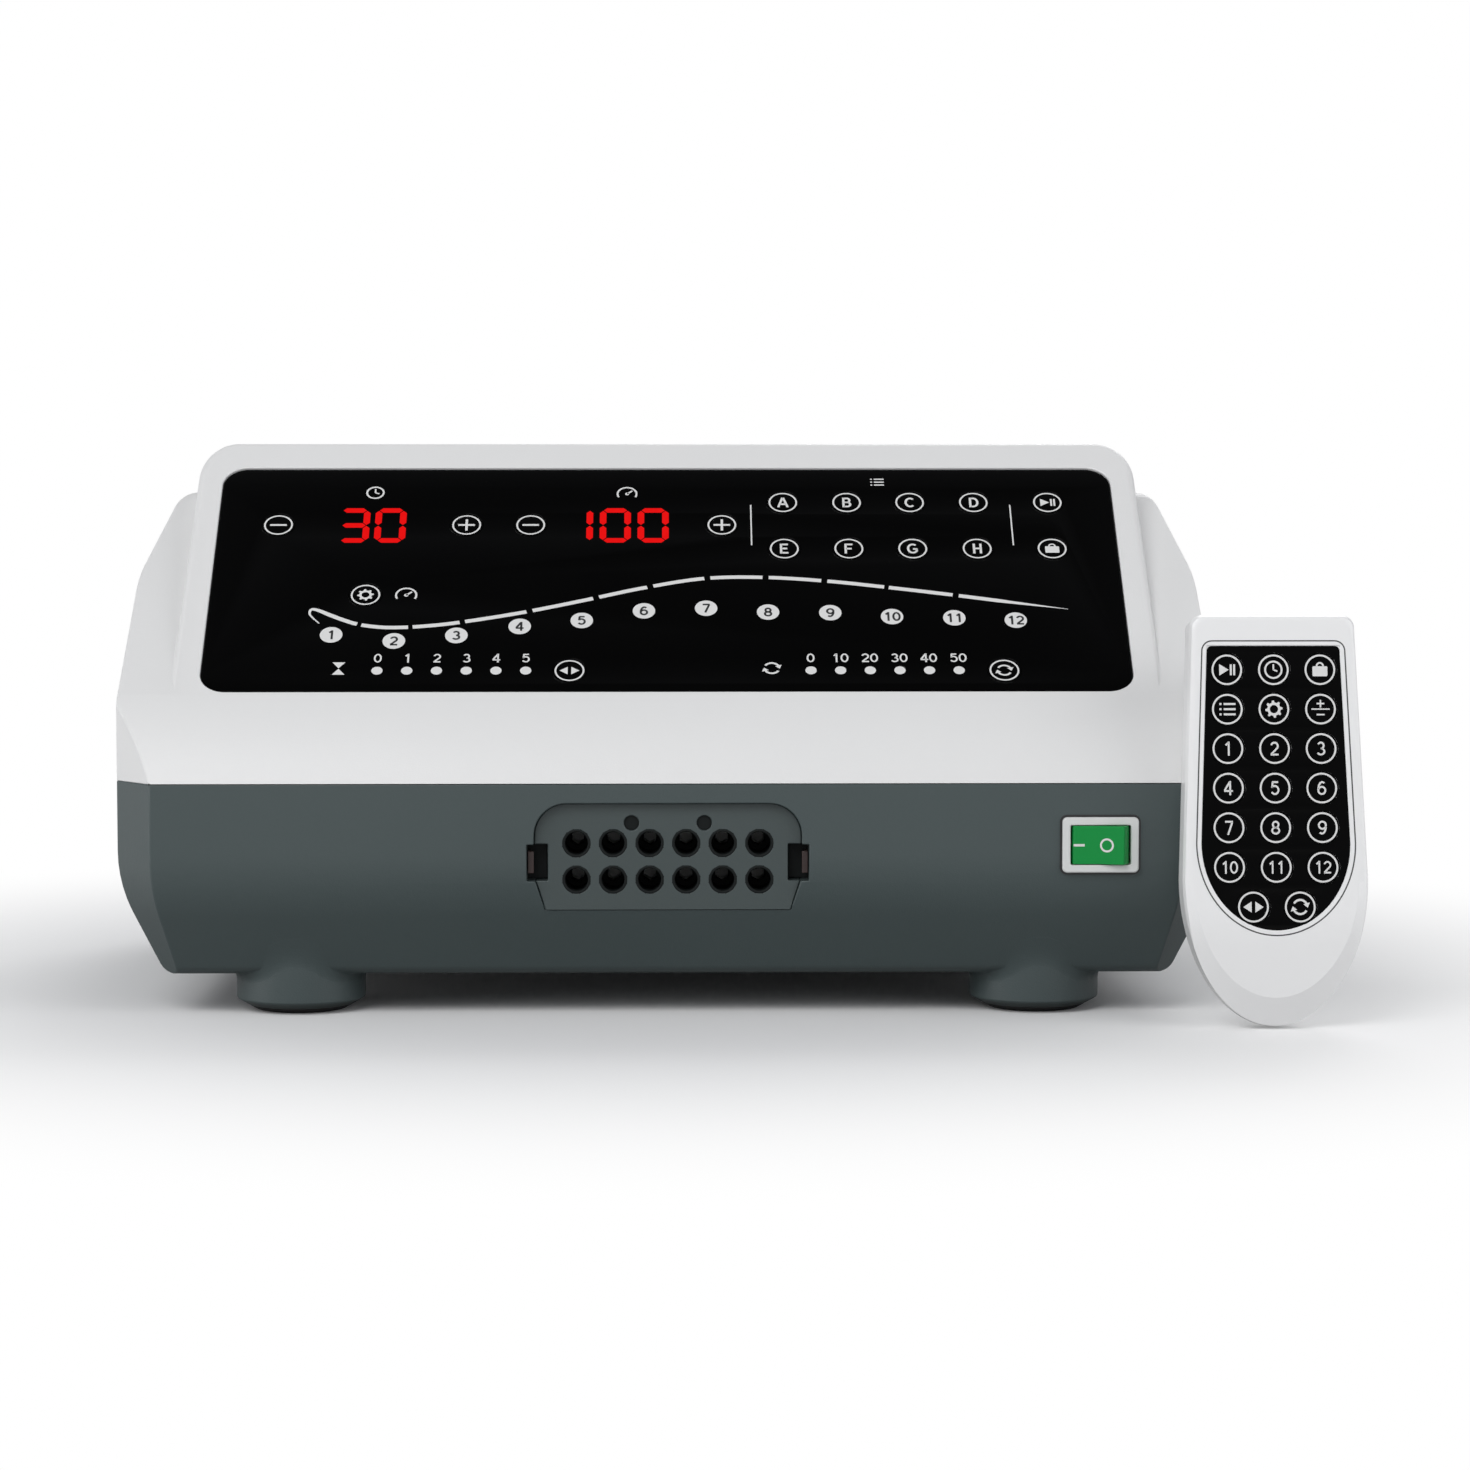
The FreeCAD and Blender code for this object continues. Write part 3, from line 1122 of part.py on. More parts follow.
def remote_loft(levels, front_z):
    """A stack of lofts between outlines, one per (height, drawn in by). The front falls away over the chin."""
    spans = [
        Part.makeLoft([remote_outline(d0, z0), remote_outline(d1, z1)], True, True)
        for (z0, d0), (z1, d1) in zip(levels, levels[1:])
    ]
    solid = spans[0].multiFuse(spans[1:]) if len(spans) > 1 else spans[0]
    fall = REMOTE_CHIN_DROP / REMOTE_CHIN_START
    end = REMOTE_L + OVER
    drop = [(-OVER, front_z - REMOTE_CHIN_DROP - OVER * fall, 0), (REMOTE_CHIN_START, front_z, REMOTE_CHIN_ROUND),
            (end, front_z, 0), (end, front_z + OVER, 0), (-OVER, front_z + OVER, 0)]
    wire = outline(drop, lambda y, z: V(-REMOTE_W, y, z))
    return solid.cut(Part.Face(wire).extrude(V(2 * REMOTE_W, 0, 0)))


def remote_outer():
    levels = REMOTE_BACK_STEPS + [(REMOTE_T - z, drawn) for z, drawn in REMOTE_FRONT_STEPS]
    return remote_loft(levels, REMOTE_T)


def remote_inner():
    drawn = REMOTE_WALL + REMOTE_FRONT_STEPS[-1][1] / 2
    front = REMOTE_T - REMOTE_FRONT_T
    floor = REMOTE_BACK_STEPS[0][1] + REMOTE_WALL / 2
    return remote_loft([(REMOTE_WALL, floor), (REMOTE_SEAM / 2, drawn), (front, drawn)], front)


def field_outline(grow, z0, z1):
    """The black key field: straight sides that widen a little, and a round lower end."""
    top = REMOTE_L - FIELD_TOP + grow
    round_y = REMOTE_L - FIELD_BOTTOM + FIELD_ROUND
    half = FIELD_W / 2 + grow
    top_half = FIELD_TOP_W / 2 + grow
    low = round_y - FIELD_ROUND - grow
    ellipse = Part.Ellipse(V(0, low, z0), V(half, round_y, z0), V(0, round_y, z0))
    arc = ellipse.toShape(-math.pi / 2, math.pi / 2)
    a = V(half, round_y, z0)
    b = V(top_half, top, z0)
    c = V(-top_half, top, z0)
    d = V(-half, round_y, z0)
    sides = [Part.LineSegment(p, q).toShape() for p, q in ((a, b), (b, c), (c, d))]
    wire = Part.Wire(Part.__sortEdges__(sides + [arc]))
    return Part.Face(wire).extrude(V(0, 0, z1 - z0))


def remote_key_place(cell):
    col, row = cell
    x = (col - 1) * R_COL
    return x, REMOTE_L - R_ROW_1 - row * R_ROW


def make_remote_front():
    outer = remote_outer()
    inner = remote_inner()
    half = block(-FAR, FAR, -FAR, FAR, REMOTE_SEAM, FAR)
    shell = outer.cut(inner).common(half)
    shell = shell.cut(field_outline(0.0, REMOTE_T - FIELD_SUNK, REMOTE_T + OVER))
    holes = []
    for cell in REMOTE_KEYS.values():
        x, y = remote_key_place(cell)
        holes.append(rod_z(R_KEY_D + 2 * R_KEY_GAP, x, y, REMOTE_SEAM, REMOTE_T + OVER, KEY_SIDES))
    shell = shell.cut(holes)
    # ribs that hold the circuit board at its corners
    posts = []
    for sx in (-1, 1):
        for y in (board_span()[0] + R_RIB / 2, board_span()[1] - R_RIB / 2):
            posts.append(rod_z(R_RIB, sx * (R_BOARD_W - R_RIB) / 2, y, R_BOARD_Z + R_BOARD_T,
                               REMOTE_T - REMOTE_FRONT_T + BITE, 4))
    return fuse(shell, posts)


def board_span():
    rows = [remote_key_place(cell)[1] for cell in REMOTE_KEYS.values()]
    return min(rows) - R_BOARD_END, max(rows) + R_BOARD_END


def door_corners(gap):
    y0 = DOOR_Y - gap
    y1 = DOOR_Y + DOOR_L + gap
    w = DOOR_W / 2 + gap
    return [(-w, y0, 0), (w, y0, 0), (w, y1, DOOR_R + gap), (-w, y1, DOOR_R + gap)]


def make_remote_back():
    outer = remote_outer()
    inner = remote_inner()
    half = block(-FAR, FAR, -FAR, FAR, -FAR, REMOTE_SEAM)
    shell = outer.cut(inner).common(half)
    # walls round the cells; the lower one leaves room for the door's lugs
    half_w = DOOR_W / 2 + DOOR_GAP
    y0 = DOOR_Y - DOOR_LUG
    y1 = DOOR_Y + DOOR_L + DOOR_GAP
    well = block(-half_w - CELL_WALL, half_w + CELL_WALL, y0 - CELL_WALL, y1 + CELL_WALL,
                 REMOTE_WALL / 2, REMOTE_SEAM)
    well = well.cut(block(-half_w, half_w, y0, y1, REMOTE_WALL, FAR)).common(outer)
    shell = fuse(shell, [well])
    return shell.cut(prism_z(door_corners(DOOR_GAP), -OVER, REMOTE_WALL + 1.0))


def make_battery_door():
    plate = prism_z(door_corners(0.0), 0.0, DOOR_T)
    lugs = []
    for s in (-1, 1):
        x = s * (DOOR_W / 2 - LUG_IN)
        floor = REMOTE_WALL + LUG_GAP
        lug = block(x - LUG_W / 2, x + LUG_W / 2, DOOR_Y - LUG_OUT, DOOR_Y + LUG_L, floor, floor + LUG_T)
        stem = block(x - LUG_W / 2, x + LUG_W / 2, DOOR_Y + LUG_GAP, DOOR_Y + LUG_L, DOOR_T - 0.3, floor + LUG_T / 2)
        lugs += [lug, stem]
    door = fuse(plate, lugs)
    end = DOOR_Y + DOOR_L - GRIP_IN
    grip = block(-GRIP_W / 2, GRIP_W / 2, end - GRIP_L, end, -1, GRIP_DEEP)
    return door.cut(grip)


def make_batteries():
    cells = []
    x = CELL_D / 2 + CELL_GAP / 2
    z = DOOR_T + CELL_LIFT + CELL_D / 2
    for s in (-1, 1):
        end = CELL_Y + CELL_L
        can = rod_y(CELL_D, s * x, z, CELL_Y, end - NUB_L, KEY_SIDES)
        nub = rod_y(NUB_D, s * x, z, end - NUB_L - 0.2, end, PIN_SIDES)
        cells.append(can.fuse(nub).removeSplitter())
    return Part.makeCompound(cells)


def make_remote_board():
    y0, y1 = board_span()
    board = prism_z(rect(R_BOARD_W, y1 - y0, R_BOARD_R, 0, (y0 + y1) / 2), R_BOARD_Z, R_BOARD_Z + R_BOARD_T)
    z = R_BOARD_Z + R_BOARD_T
    top = REMOTE_T - FIELD_SUNK - R_KEY_T - R_SWITCH_GAP
    switches = []
    for cell in REMOTE_KEYS.values():
        x, y = remote_key_place(cell)
        switches.append(block(x - R_SWITCH_A / 2, x + R_SWITCH_A / 2, y - R_SWITCH_A / 2, y + R_SWITCH_A / 2,
                              z - R_BOARD_T / 8, top))
    return fuse(board, switches)


def make_remote_key(cell):
    x, y = remote_key_place(cell)
    face = REMOTE_T - FIELD_SUNK
    return rod_z(R_KEY_D, x, y, face - R_KEY_T, face, KEY_SIDES)


# ================================================================ all pieces
def main():
    os.makedirs("parts", exist_ok=True)
    write("top_cover", make_top_cover())
    write("base_housing", make_base_housing())
    write("foot_pads", make_foot_pads())
    write("housing_screws", make_screws())
    write("control_panel", make_control_panel())
    write("control_board", make_control_board())
    write("led_displays", make_led_displays())
    key = make_console_key()
    for name, share in CONSOLE_KEYS.items():
        write(name, on_panel(key, *panel_place(*share)))
    write("hose_socket", make_hose_socket())
    write("latch_clips", make_latch_clips())
    write("valve_block", make_valve_block())
    write("valve_rotor", make_valve_rotor())
    write("valve_motor", make_valve_motor())
    write("compressor", make_compressor())
    write("air_hose", make_air_hose())
    write("power_supply", make_power_supply())
    write("switch_frame", make_switch_frame())
    write("power_rocker", make_power_rocker())
    write("mains_inlet", make_mains_inlet())
    write("remote_front_shell", stand_remote(make_remote_front()))
    write("remote_back_shell", stand_remote(make_remote_back()))
    write("remote_board", stand_remote(make_remote_board()))
    write("battery_door", stand_remote(make_battery_door()))
    write("batteries", stand_remote(make_batteries()))
    for name, cell in REMOTE_KEYS.items():
        write(name, stand_remote(make_remote_key(cell)))


main()
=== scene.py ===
import math

import bmesh
import bpy
from mathutils import Matrix, Vector
from mathutils.bvhtree import BVHTree


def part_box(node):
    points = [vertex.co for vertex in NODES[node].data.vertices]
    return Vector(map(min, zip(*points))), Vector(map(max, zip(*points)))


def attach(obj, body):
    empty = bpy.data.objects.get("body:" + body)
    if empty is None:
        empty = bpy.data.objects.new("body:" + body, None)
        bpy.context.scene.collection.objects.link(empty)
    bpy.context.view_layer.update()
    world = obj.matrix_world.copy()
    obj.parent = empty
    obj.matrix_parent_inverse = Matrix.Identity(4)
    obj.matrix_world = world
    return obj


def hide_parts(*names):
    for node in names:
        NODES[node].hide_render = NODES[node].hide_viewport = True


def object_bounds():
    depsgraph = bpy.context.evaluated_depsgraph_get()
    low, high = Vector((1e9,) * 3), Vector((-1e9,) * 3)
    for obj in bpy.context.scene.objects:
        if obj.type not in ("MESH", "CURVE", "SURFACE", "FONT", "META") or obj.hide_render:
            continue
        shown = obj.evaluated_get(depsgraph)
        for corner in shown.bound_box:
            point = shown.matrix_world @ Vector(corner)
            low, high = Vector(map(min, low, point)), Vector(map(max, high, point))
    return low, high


# Looks of a desk console for compression therapy and of the remote control that leans on it.
# Lengths are millimetres until they are multiplied by MM, because Blender takes metres.
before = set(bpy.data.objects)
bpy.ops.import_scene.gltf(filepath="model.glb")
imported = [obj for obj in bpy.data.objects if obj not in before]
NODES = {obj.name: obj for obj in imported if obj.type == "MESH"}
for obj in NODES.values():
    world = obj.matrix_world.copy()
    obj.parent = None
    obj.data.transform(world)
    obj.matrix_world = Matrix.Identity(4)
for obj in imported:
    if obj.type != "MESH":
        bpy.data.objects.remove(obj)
CAD_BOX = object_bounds()
MM = 0.001
# slack in millimetres when a place is looked up
NEAR = 0.1

# ---------------------------------------------------------------- control panel and its keys
PANEL_TILT = math.radians(41.1)
PANEL_FOOT = Vector((0.0, -99.575, 99.434)) * MM
PANEL_W = 290.0
PANEL_L = 104.5
PANEL_R = 8.0
PANEL_T = 3.0
PANEL_EDGE = 0.25
KEY_D = 10.6
KEY_HOLE_D = 10.9
KEY_T = 2.2
KEY_RING_D = 9.3
KEY_RING_LINE = 0.55
KEY_EDGE = 0.12
KEY_FIGURE = 0.5
KEY_FIGURE_LINE = 0.16
TWO_FIGURES = 0.9
ROUND_STEPS = 72

# heights over the face that carries a print; its foot is sunk into that face
PRINT_LOW = -0.01
PRINT_HIGH = 0.03
PRINT_TOP = 0.05
MARK_HIGH = 0.06

# places on the panel: shares of its half width and of its length
ROW_UPPER = 0.8440
ROW_DISPLAY = 0.7397
ROW_LOWER = 0.6306
ROW_SINGLE = 0.4230
ROW_FOOT = 0.0919
PROGRAM_U = (0.2593, 0.4028, 0.5448, 0.6883)
CONSOLE_KEYS = {
    "key_time_minus": (-0.8676, ROW_DISPLAY, "minus"),
    "key_time_plus": (-0.4483, ROW_DISPLAY, "plus"),
    "key_pressure_minus": (-0.3055, ROW_DISPLAY, "minus"),
    "key_pressure_plus": (0.1214, ROW_DISPLAY, "plus"),
    **{"key_program_" + letter.lower(): (u, row, letter)
       for row, letters in ((ROW_UPPER, "ABCD"), (ROW_LOWER, "EFGH"))
       for u, letter in zip(PROGRAM_U, letters)},
    "key_start_pause": (0.8552, ROW_UPPER, "start_pause"),
    "key_lock": (0.8552, ROW_LOWER, "lock"),
    "key_individual_pressure": (-0.6614, ROW_SINGLE, "gear"),
    "key_hold": (-0.2110, ROW_FOOT, "left_right"),
    "key_interval": (0.7248, ROW_FOOT, "cycle"),
}
CHAMBER_LAMPS = [
    (-0.7290, 0.2469), (-0.5924, 0.2201), (-0.4579, 0.2440), (-0.3214, 0.2833),
    (-0.1869, 0.3091), (-0.0517, 0.3512), (0.0841, 0.3627), (0.2193, 0.3455),
    (0.3552, 0.3426), (0.4897, 0.3254), (0.6255, 0.3196), (0.7593, 0.3091),
]
DOTS = 6
DOT_PITCH = 0.0638
HOLD_DOT_U = -0.6241
INTERVAL_DOT_U = 0.3083

# places on the panel in millimetres from the middle of its lower edge
LAMP_R = 3.55
LAMP_FIGURE = 4.0
LAMP_FIGURE_LINE = 0.17
DOT_R = 1.75
DOT_T = 0.04
DOT_FIGURE = 3.9
DOT_FIGURE_LINE = 0.14
DOT_FIGURE_RISE = 5.6
RULES_U = (27.1, 111.6)
RULE_FROM_V = 67.5
RULE_TO_V = 87.0
RULE_LINE = 0.45
PICTOGRAMS = [
    ("clock", -95.3, 93.0, 5.0), ("gauge", -13.2, 92.4, 5.0), ("list", 68.7, 98.2, 4.2),
    ("hourglass", -102.5, 10.6, 5.0), ("cycle", 32.5, 10.6, 5.0), ("gauge", -83.0, 44.0, 5.2),
]
DISPLAYS = [("30", -95.5, 11.75), ("100", -16.9, 12.25)]
DIGIT_V = 77.1
DIGIT_W = 10.1
DIGIT_H = 16.6
DIGIT_LINE = 2.15
DIGIT_GAP = 0.22
CURVE_KNOTS = [
    (-109.8, 31.0), (-112.9, 35.0), (-112.6, 37.4), (-110.4, 37.0), (-106.5, 34.8), (-102.1, 32.5),
    (-97.6, 30.6), (-91.5, 29.4), (-85.9, 29.1), (-78.0, 29.6), (-66.4, 31.3), (-46.6, 35.8),
    (-27.1, 41.4), (-7.5, 47.4), (12.2, 51.8), (31.8, 52.2), (51.5, 50.4), (71.0, 47.4),
    (90.7, 44.0), (110.1, 40.4), (127.0, 37.4),
]
CURVE_BREAKS = [-97.2, -81.0, -64.9, -43.8, -22.6, -5.6, 12.8, 31.3, 49.9, 69.7, 91.6]
CURVE_GAP = 1.3
CURVE_HALF_LINE = 0.78
CURVE_THINNEST = 0.12
CURVE_STEPS = 40
CURVE_EVERY = 3
# the stroke swells over its first samples and thins out over its last millimetres
SWELL_LEAD = 45
SWELL_SAMPLES = 200
THIN_LEAD = 1.5
THIN_RUN = 24.0

# ---------------------------------------------------------------- housing and feet
WALL_Y = -120.0
UNDERSIDE = 12.5
FOOT_PLACES = [(sx * 115.0, sy * 89.0) for sx in (-1, 1) for sy in (-1, 1)]
FOOT_R = 20.0
FOOT_BLEND = 3.2
COLLAR_STEPS = 128
COLLAR_TURN = (0.0, 0.03, 0.2, 0.4, 0.6, 0.8, 0.97, 1.0)
COLLAR_CLEAR = 0.05
COLLAR_SUNK = 1.0
COLLAR_BACK = 0.5
COLLAR_PROBE_Z = 8.0
COLLAR_PROBE_R = 30.0
COLLAR_CREASE = 60.0
FOOT_NEAR = 0.25
FOOT_RISE = 9.0
SCREW_PITCH_X = 296.0
SCREW_PITCH_Y = 184.0
SCREW_HEAD_R = 3.7
SCREW_HEAD_T = 3.0
SCREW_SHANK_R = 1.9
SCREW_SHANK_L = 28.0

# ---------------------------------------------------------------- hose socket
SOCKET_Y = -117.0
PORT_COLUMNS = 6
PORT_ROWS = 2
PORT_PITCH = 11.2
PORT_MIDDLE_Z = 48.5
PORT_REACH = 4.15
SLEEVE_R = 3.95
SLEEVE_WALL = 0.9
SLEEVE_L = 6.0
SLEEVE_ROUND = 0.3
SLEEVE_PROUD = 0.1
DIMPLE_PITCH = 22.3
DIMPLE_Z = 60.3
DIMPLE_R = 2.25
DIMPLE_DEPTH = 1.2
DIMPLE_FLOOR_T = 0.3

# ---------------------------------------------------------------- power switch
BEZEL_MIDDLE = (132.3, 53.75)
BEZEL_W = 23.4
BEZEL_H = 17.0
BEZEL_R = 1.5
# the painted shade ring round the switch frame: its width outside the frame, how far it reaches under the
# frame, and its heights
BEZEL_SHADE = 0.7
BEZEL_OVERLAP = 0.4
SHADE_LOW = -0.02
SHADE_HIGH = 0.04
ROCKER_AXIS = Vector((132.3, -118.4, 53.75)) * MM
ROCKER_ANGLE = 9.0
ROCKER_RISE = 3.6
MARK_ON_X = 6.1
MARK_ON_HALF = 1.7
MARK_ON_LINE = 0.75
MARK_OFF_X = 2.45
MARK_OFF_R = 2.15
MARK_OFF_LINE = 0.6

# ---------------------------------------------------------------- remote control, lying on its back
REMOTE_LEAN = math.radians(9.0)
REMOTE_FOOT = Vector((183.0, -129.6, -1.03)) * MM
REMOTE_L = 124.0
REMOTE_W = 56.1
REMOTE_TOP_W = 50.1
REMOTE_T = 20.0
REMOTE_CORNER = 3.8
REMOTE_SEAM = 11.0
SEAM_EDGE = 0.5
REMOTE_CHIN = 44.2
CHIN_DROP = 5.5
CHIN_START = 30.0
CHIN_ROUND = 60.0
FACET_CHIN_W = 8.4
FACET_SIDE_W = 3.2
FACET_END_W = 1.9
FACET_END = 80.0
FACET_FALL = 0.285
FACET_REACH = 1.3
FACET_LIFT = 0.02
FACET_OVER = 2.0
REMOTE_KEY_D = 10.2
REMOTE_KEY_T = 2.8
REMOTE_KEY_RING_D = 9.25
REMOTE_KEY_FIGURE = 0.46
REMOTE_KEY_FIGURE_LINE = 0.13
REMOTE_HOLE_D = 10.5
REMOTE_COLUMN = 14.1
REMOTE_ROW = 11.95
REMOTE_ROW_1 = 16.8
REMOTE_KEYS = [
    ["start_pause", "time", "lock"], ["mode", "settings", "level"], ["01", "02", "03"], ["04", "05", "06"],
    ["07", "08", "09"], ["10", "11", "12"], ["hold", "interval"],
]
REMOTE_SYMBOLS = {
    "start_pause": "start_pause", "time": "clock", "lock": "lock", "mode": "list", "settings": "gear",
    "level": "level", "hold": "left_right", "interval": "cycle",
}
FIELD_Z = 19.6
FIELD_TOP = 9.5
FIELD_BOTTOM = 95.6
FIELD_W = 45.0
FIELD_TOP_W = 40.4
FIELD_ROUND = 26.3
FIELD_CORNER = 1.6
FIELD_HOLE_DEPTH = 4.0
FILM_GAP = 0.05
FILM_RISE = 0.03
# the painted shade of a groove round the field, as a dark strip: its two edges outside the field, its height
# over the shell and its thickness
LINE_FROM = 1.25
LINE_TO = 1.65
LINE_RISE = 0.03
LINE_T = 0.08

PANEL_PLACE = Matrix.Translation(PANEL_FOOT) @ Matrix.Rotation(PANEL_TILT, 4, "X")
REMOTE_PLACE = Matrix.Translation(REMOTE_FOOT) @ Matrix.Rotation(math.pi / 2 - REMOTE_LEAN, 4, "X")
FRONT_PLACE = Matrix.Rotation(math.pi / 2, 4, "X")


def panel_place(share_u, share_v):
    """A place on the panel in mm, from its shares of the half width and of the length."""
    return share_u * PANEL_W / 2, share_v * PANEL_L


def shifted(x, y, z):
    """A move by millimetres."""
    return Matrix.Translation((x * MM, y * MM, z * MM))


def centred(count, pitch):
    """Places of a row that lies evenly about zero."""
    return [(i - (count - 1) / 2) * pitch for i in range(count)]


# ================================================================ nodes and shader groups
FLOAT = "NodeSocketFloat"


def group_tree(kind, name, inputs, outputs):
    """A node group with named sockets: the tree, what its inputs give, and what its output node takes."""
    tree = bpy.data.node_groups.new(name, kind)
    for label, socket_kind, value in inputs:
        socket = tree.interface.new_socket(label, in_out="INPUT", socket_type=socket_kind)
        if value is not None:
            socket.default_value = value
    for label, socket_kind in outputs:
        tree.interface.new_socket(label, in_out="OUTPUT", socket_type=socket_kind)
    return tree, tree.nodes.new("NodeGroupInput").outputs, tree.nodes.new("NodeGroupOutput").inputs


def shader_group(name, output, *inputs):
    """A shader group that makes one number out of named numbers."""
    return group_tree("ShaderNodeTree", name, [(label, FLOAT, value) for label, value in inputs],
                      [(output, FLOAT)])


def fill(tree, made, inputs):
    """Gives a node its inputs, each a plain value or another node's output."""
    for key, value in inputs.items():
        if isinstance(value, bpy.types.NodeSocket):
            tree.links.new(value, made.inputs[key])
        else:
            made.inputs[key].default_value = value


def node(tree, kind, inputs=None, **settings):
    """A new node with its settings and its inputs."""
    made = tree.nodes.new(kind)
    for key, value in settings.items():
        setattr(made, key, value)
    fill(tree, made, inputs or {})
    return made


def maths(tree, operation, a, b, clamp=False):
    """The result of a sum on two numbers, each plain or another node's output."""
    return node(tree, "ShaderNodeMath", {0: a, 1: b}, operation=operation, use_clamp=clamp).outputs[0]


def object_noise(tree, scale, detail, rough=0.5, vector=None):
    """Noise over the object's own coordinates; scale is in waves per metre."""
    if vector is None:
        vector = node(tree, "ShaderNodeTexCoord").outputs["Object"]
    inputs = {"Scale": scale, "Detail": detail, "Roughness": rough, "Vector": vector}
    return node(tree, "ShaderNodeTexNoise", inputs).outputs["Fac"]


def blend_colour(tree, factor, a, b):
    """Goes from colour a to colour b; each is a tuple or another node's output."""
    a, b = ((*colour, 1.0) if isinstance(colour, tuple) else colour for colour in (a, b))
    return node(tree, "ShaderNodeMix", {"Factor": factor, 6: a, 7: b}, data_type="RGBA").outputs[2]


def smooth_range(tree, value, start, end):
    """Rises softly from 0 to 1 between two values."""
    inputs = {"Value": value, "From Min": start, "From Max": end}
    return node(tree, "ShaderNodeMapRange", inputs, interpolation_type="SMOOTHSTEP").outputs["Result"]


def moulded_grain_group():
    """Spark-eroded mould texture: fine cells with softer waves under them, as a height."""
    tree, ins, outs = shader_group("moulded_grain", "Height",
                                   ("Cells per metre", 1800.0), ("Wave share", 0.3))
    coords = node(tree, "ShaderNodeTexCoord").outputs["Object"]
    cells = node(tree, "ShaderNodeTexVoronoi",
                 {"Vector": coords, "Scale": ins["Cells per metre"], "Smoothness": 0.6}, feature="SMOOTH_F1")
    fine = object_noise(tree, scale=maths(tree, "MULTIPLY", ins["Cells per metre"], 0.35), detail=3.0)
    waves = maths(tree, "MULTIPLY", object_noise(tree, scale=90.0, detail=2.0), ins["Wave share"])
    grain = maths(tree, "ADD", cells.outputs["Distance"], fine)
    tree.links.new(maths(tree, "ADD", grain, waves), outs["Height"])
    return tree


def edge_wear_group():
    """Mask that is 1 on edges rubbed by handling, broken up by noise."""
    tree, ins, outs = shader_group("edge_wear", "Mask", ("Radius", 0.0008), ("Amount", 0.5))
    soft = node(tree, "ShaderNodeBevel", {"Radius": ins["Radius"]}, samples=4)
    geometry = node(tree, "ShaderNodeNewGeometry")
    dot = node(tree, "ShaderNodeVectorMath", {0: soft.outputs["Normal"], 1: geometry.outputs["Normal"]},
               operation="DOT_PRODUCT")
    bend = maths(tree, "SUBTRACT", 1.0, dot.outputs["Value"], clamp=True)
    broken = maths(tree, "MULTIPLY", bend, object_noise(tree, scale=160.0, detail=5.0, rough=0.65))
    strong = maths(tree, "MULTIPLY", broken, 6.0)
    tree.links.new(maths(tree, "MULTIPLY", strong, ins["Amount"], clamp=True), outs["Mask"])
    return tree


def dust_group():
    """Light dust that settles on surfaces that face up, and faint smears elsewhere."""
    tree, ins, outs = shader_group("settled_dust", "Mask", ("Amount", 0.1), ("Speckle per metre", 900.0))
    geometry = node(tree, "ShaderNodeNewGeometry")
    parts = node(tree, "ShaderNodeSeparateXYZ", {0: geometry.outputs["Normal"]})
    facing = maths(tree, "ADD", maths(tree, "MULTIPLY", parts.outputs["Z"], 0.7, clamp=True), 0.3)
    smears = object_noise(tree, scale=14.0, detail=6.0, rough=0.6)
    speckle = maths(tree, "ADD", object_noise(tree, scale=ins["Speckle per metre"], detail=2.0), 0.35)
    settled = maths(tree, "MULTIPLY", maths(tree, "MULTIPLY", smears, speckle), facing)
    tree.links.new(maths(tree, "MULTIPLY", settled, ins["Amount"], clamp=True), outs["Mask"])
    return tree


def brushed_group():
    """Fine parallel draw lines along X, as a height."""
    tree, ins, outs = shader_group("draw_lines", "Height", ("Lines per metre", 2500.0))
    coords = node(tree, "ShaderNodeTexCoord").outputs["Object"]
    squeeze = node(tree, "ShaderNodeMapping", {"Vector": coords, "Scale": (0.02, 1.0, 1.0)})
    lines = object_noise(tree, scale=ins["Lines per metre"], detail=2.0, vector=squeeze.outputs["Vector"])
    tree.links.new(lines, outs["Height"])
    return tree


GRAIN = moulded_grain_group()
WEAR = edge_wear_group()
DUST = dust_group()
BRUSHED = brushed_group()


# ================================================================ materials
WEAR_RADIUS = 0.7
DUST_COLOUR = (0.52, 0.51, 0.49)
COAT_ROUGHNESS = 0.08


def blank_material(name):
    """A new material, its node tree and its shader."""
    material = bpy.data.materials.new(name)
    material.use_nodes = True
    return material, material.node_tree, material.node_tree.nodes["Principled BSDF"]


def shaded(colour, share, lift=0.0):
    """A colour made darker or lighter."""
    return tuple(min(c * share + lift, 1.0) for c in colour)


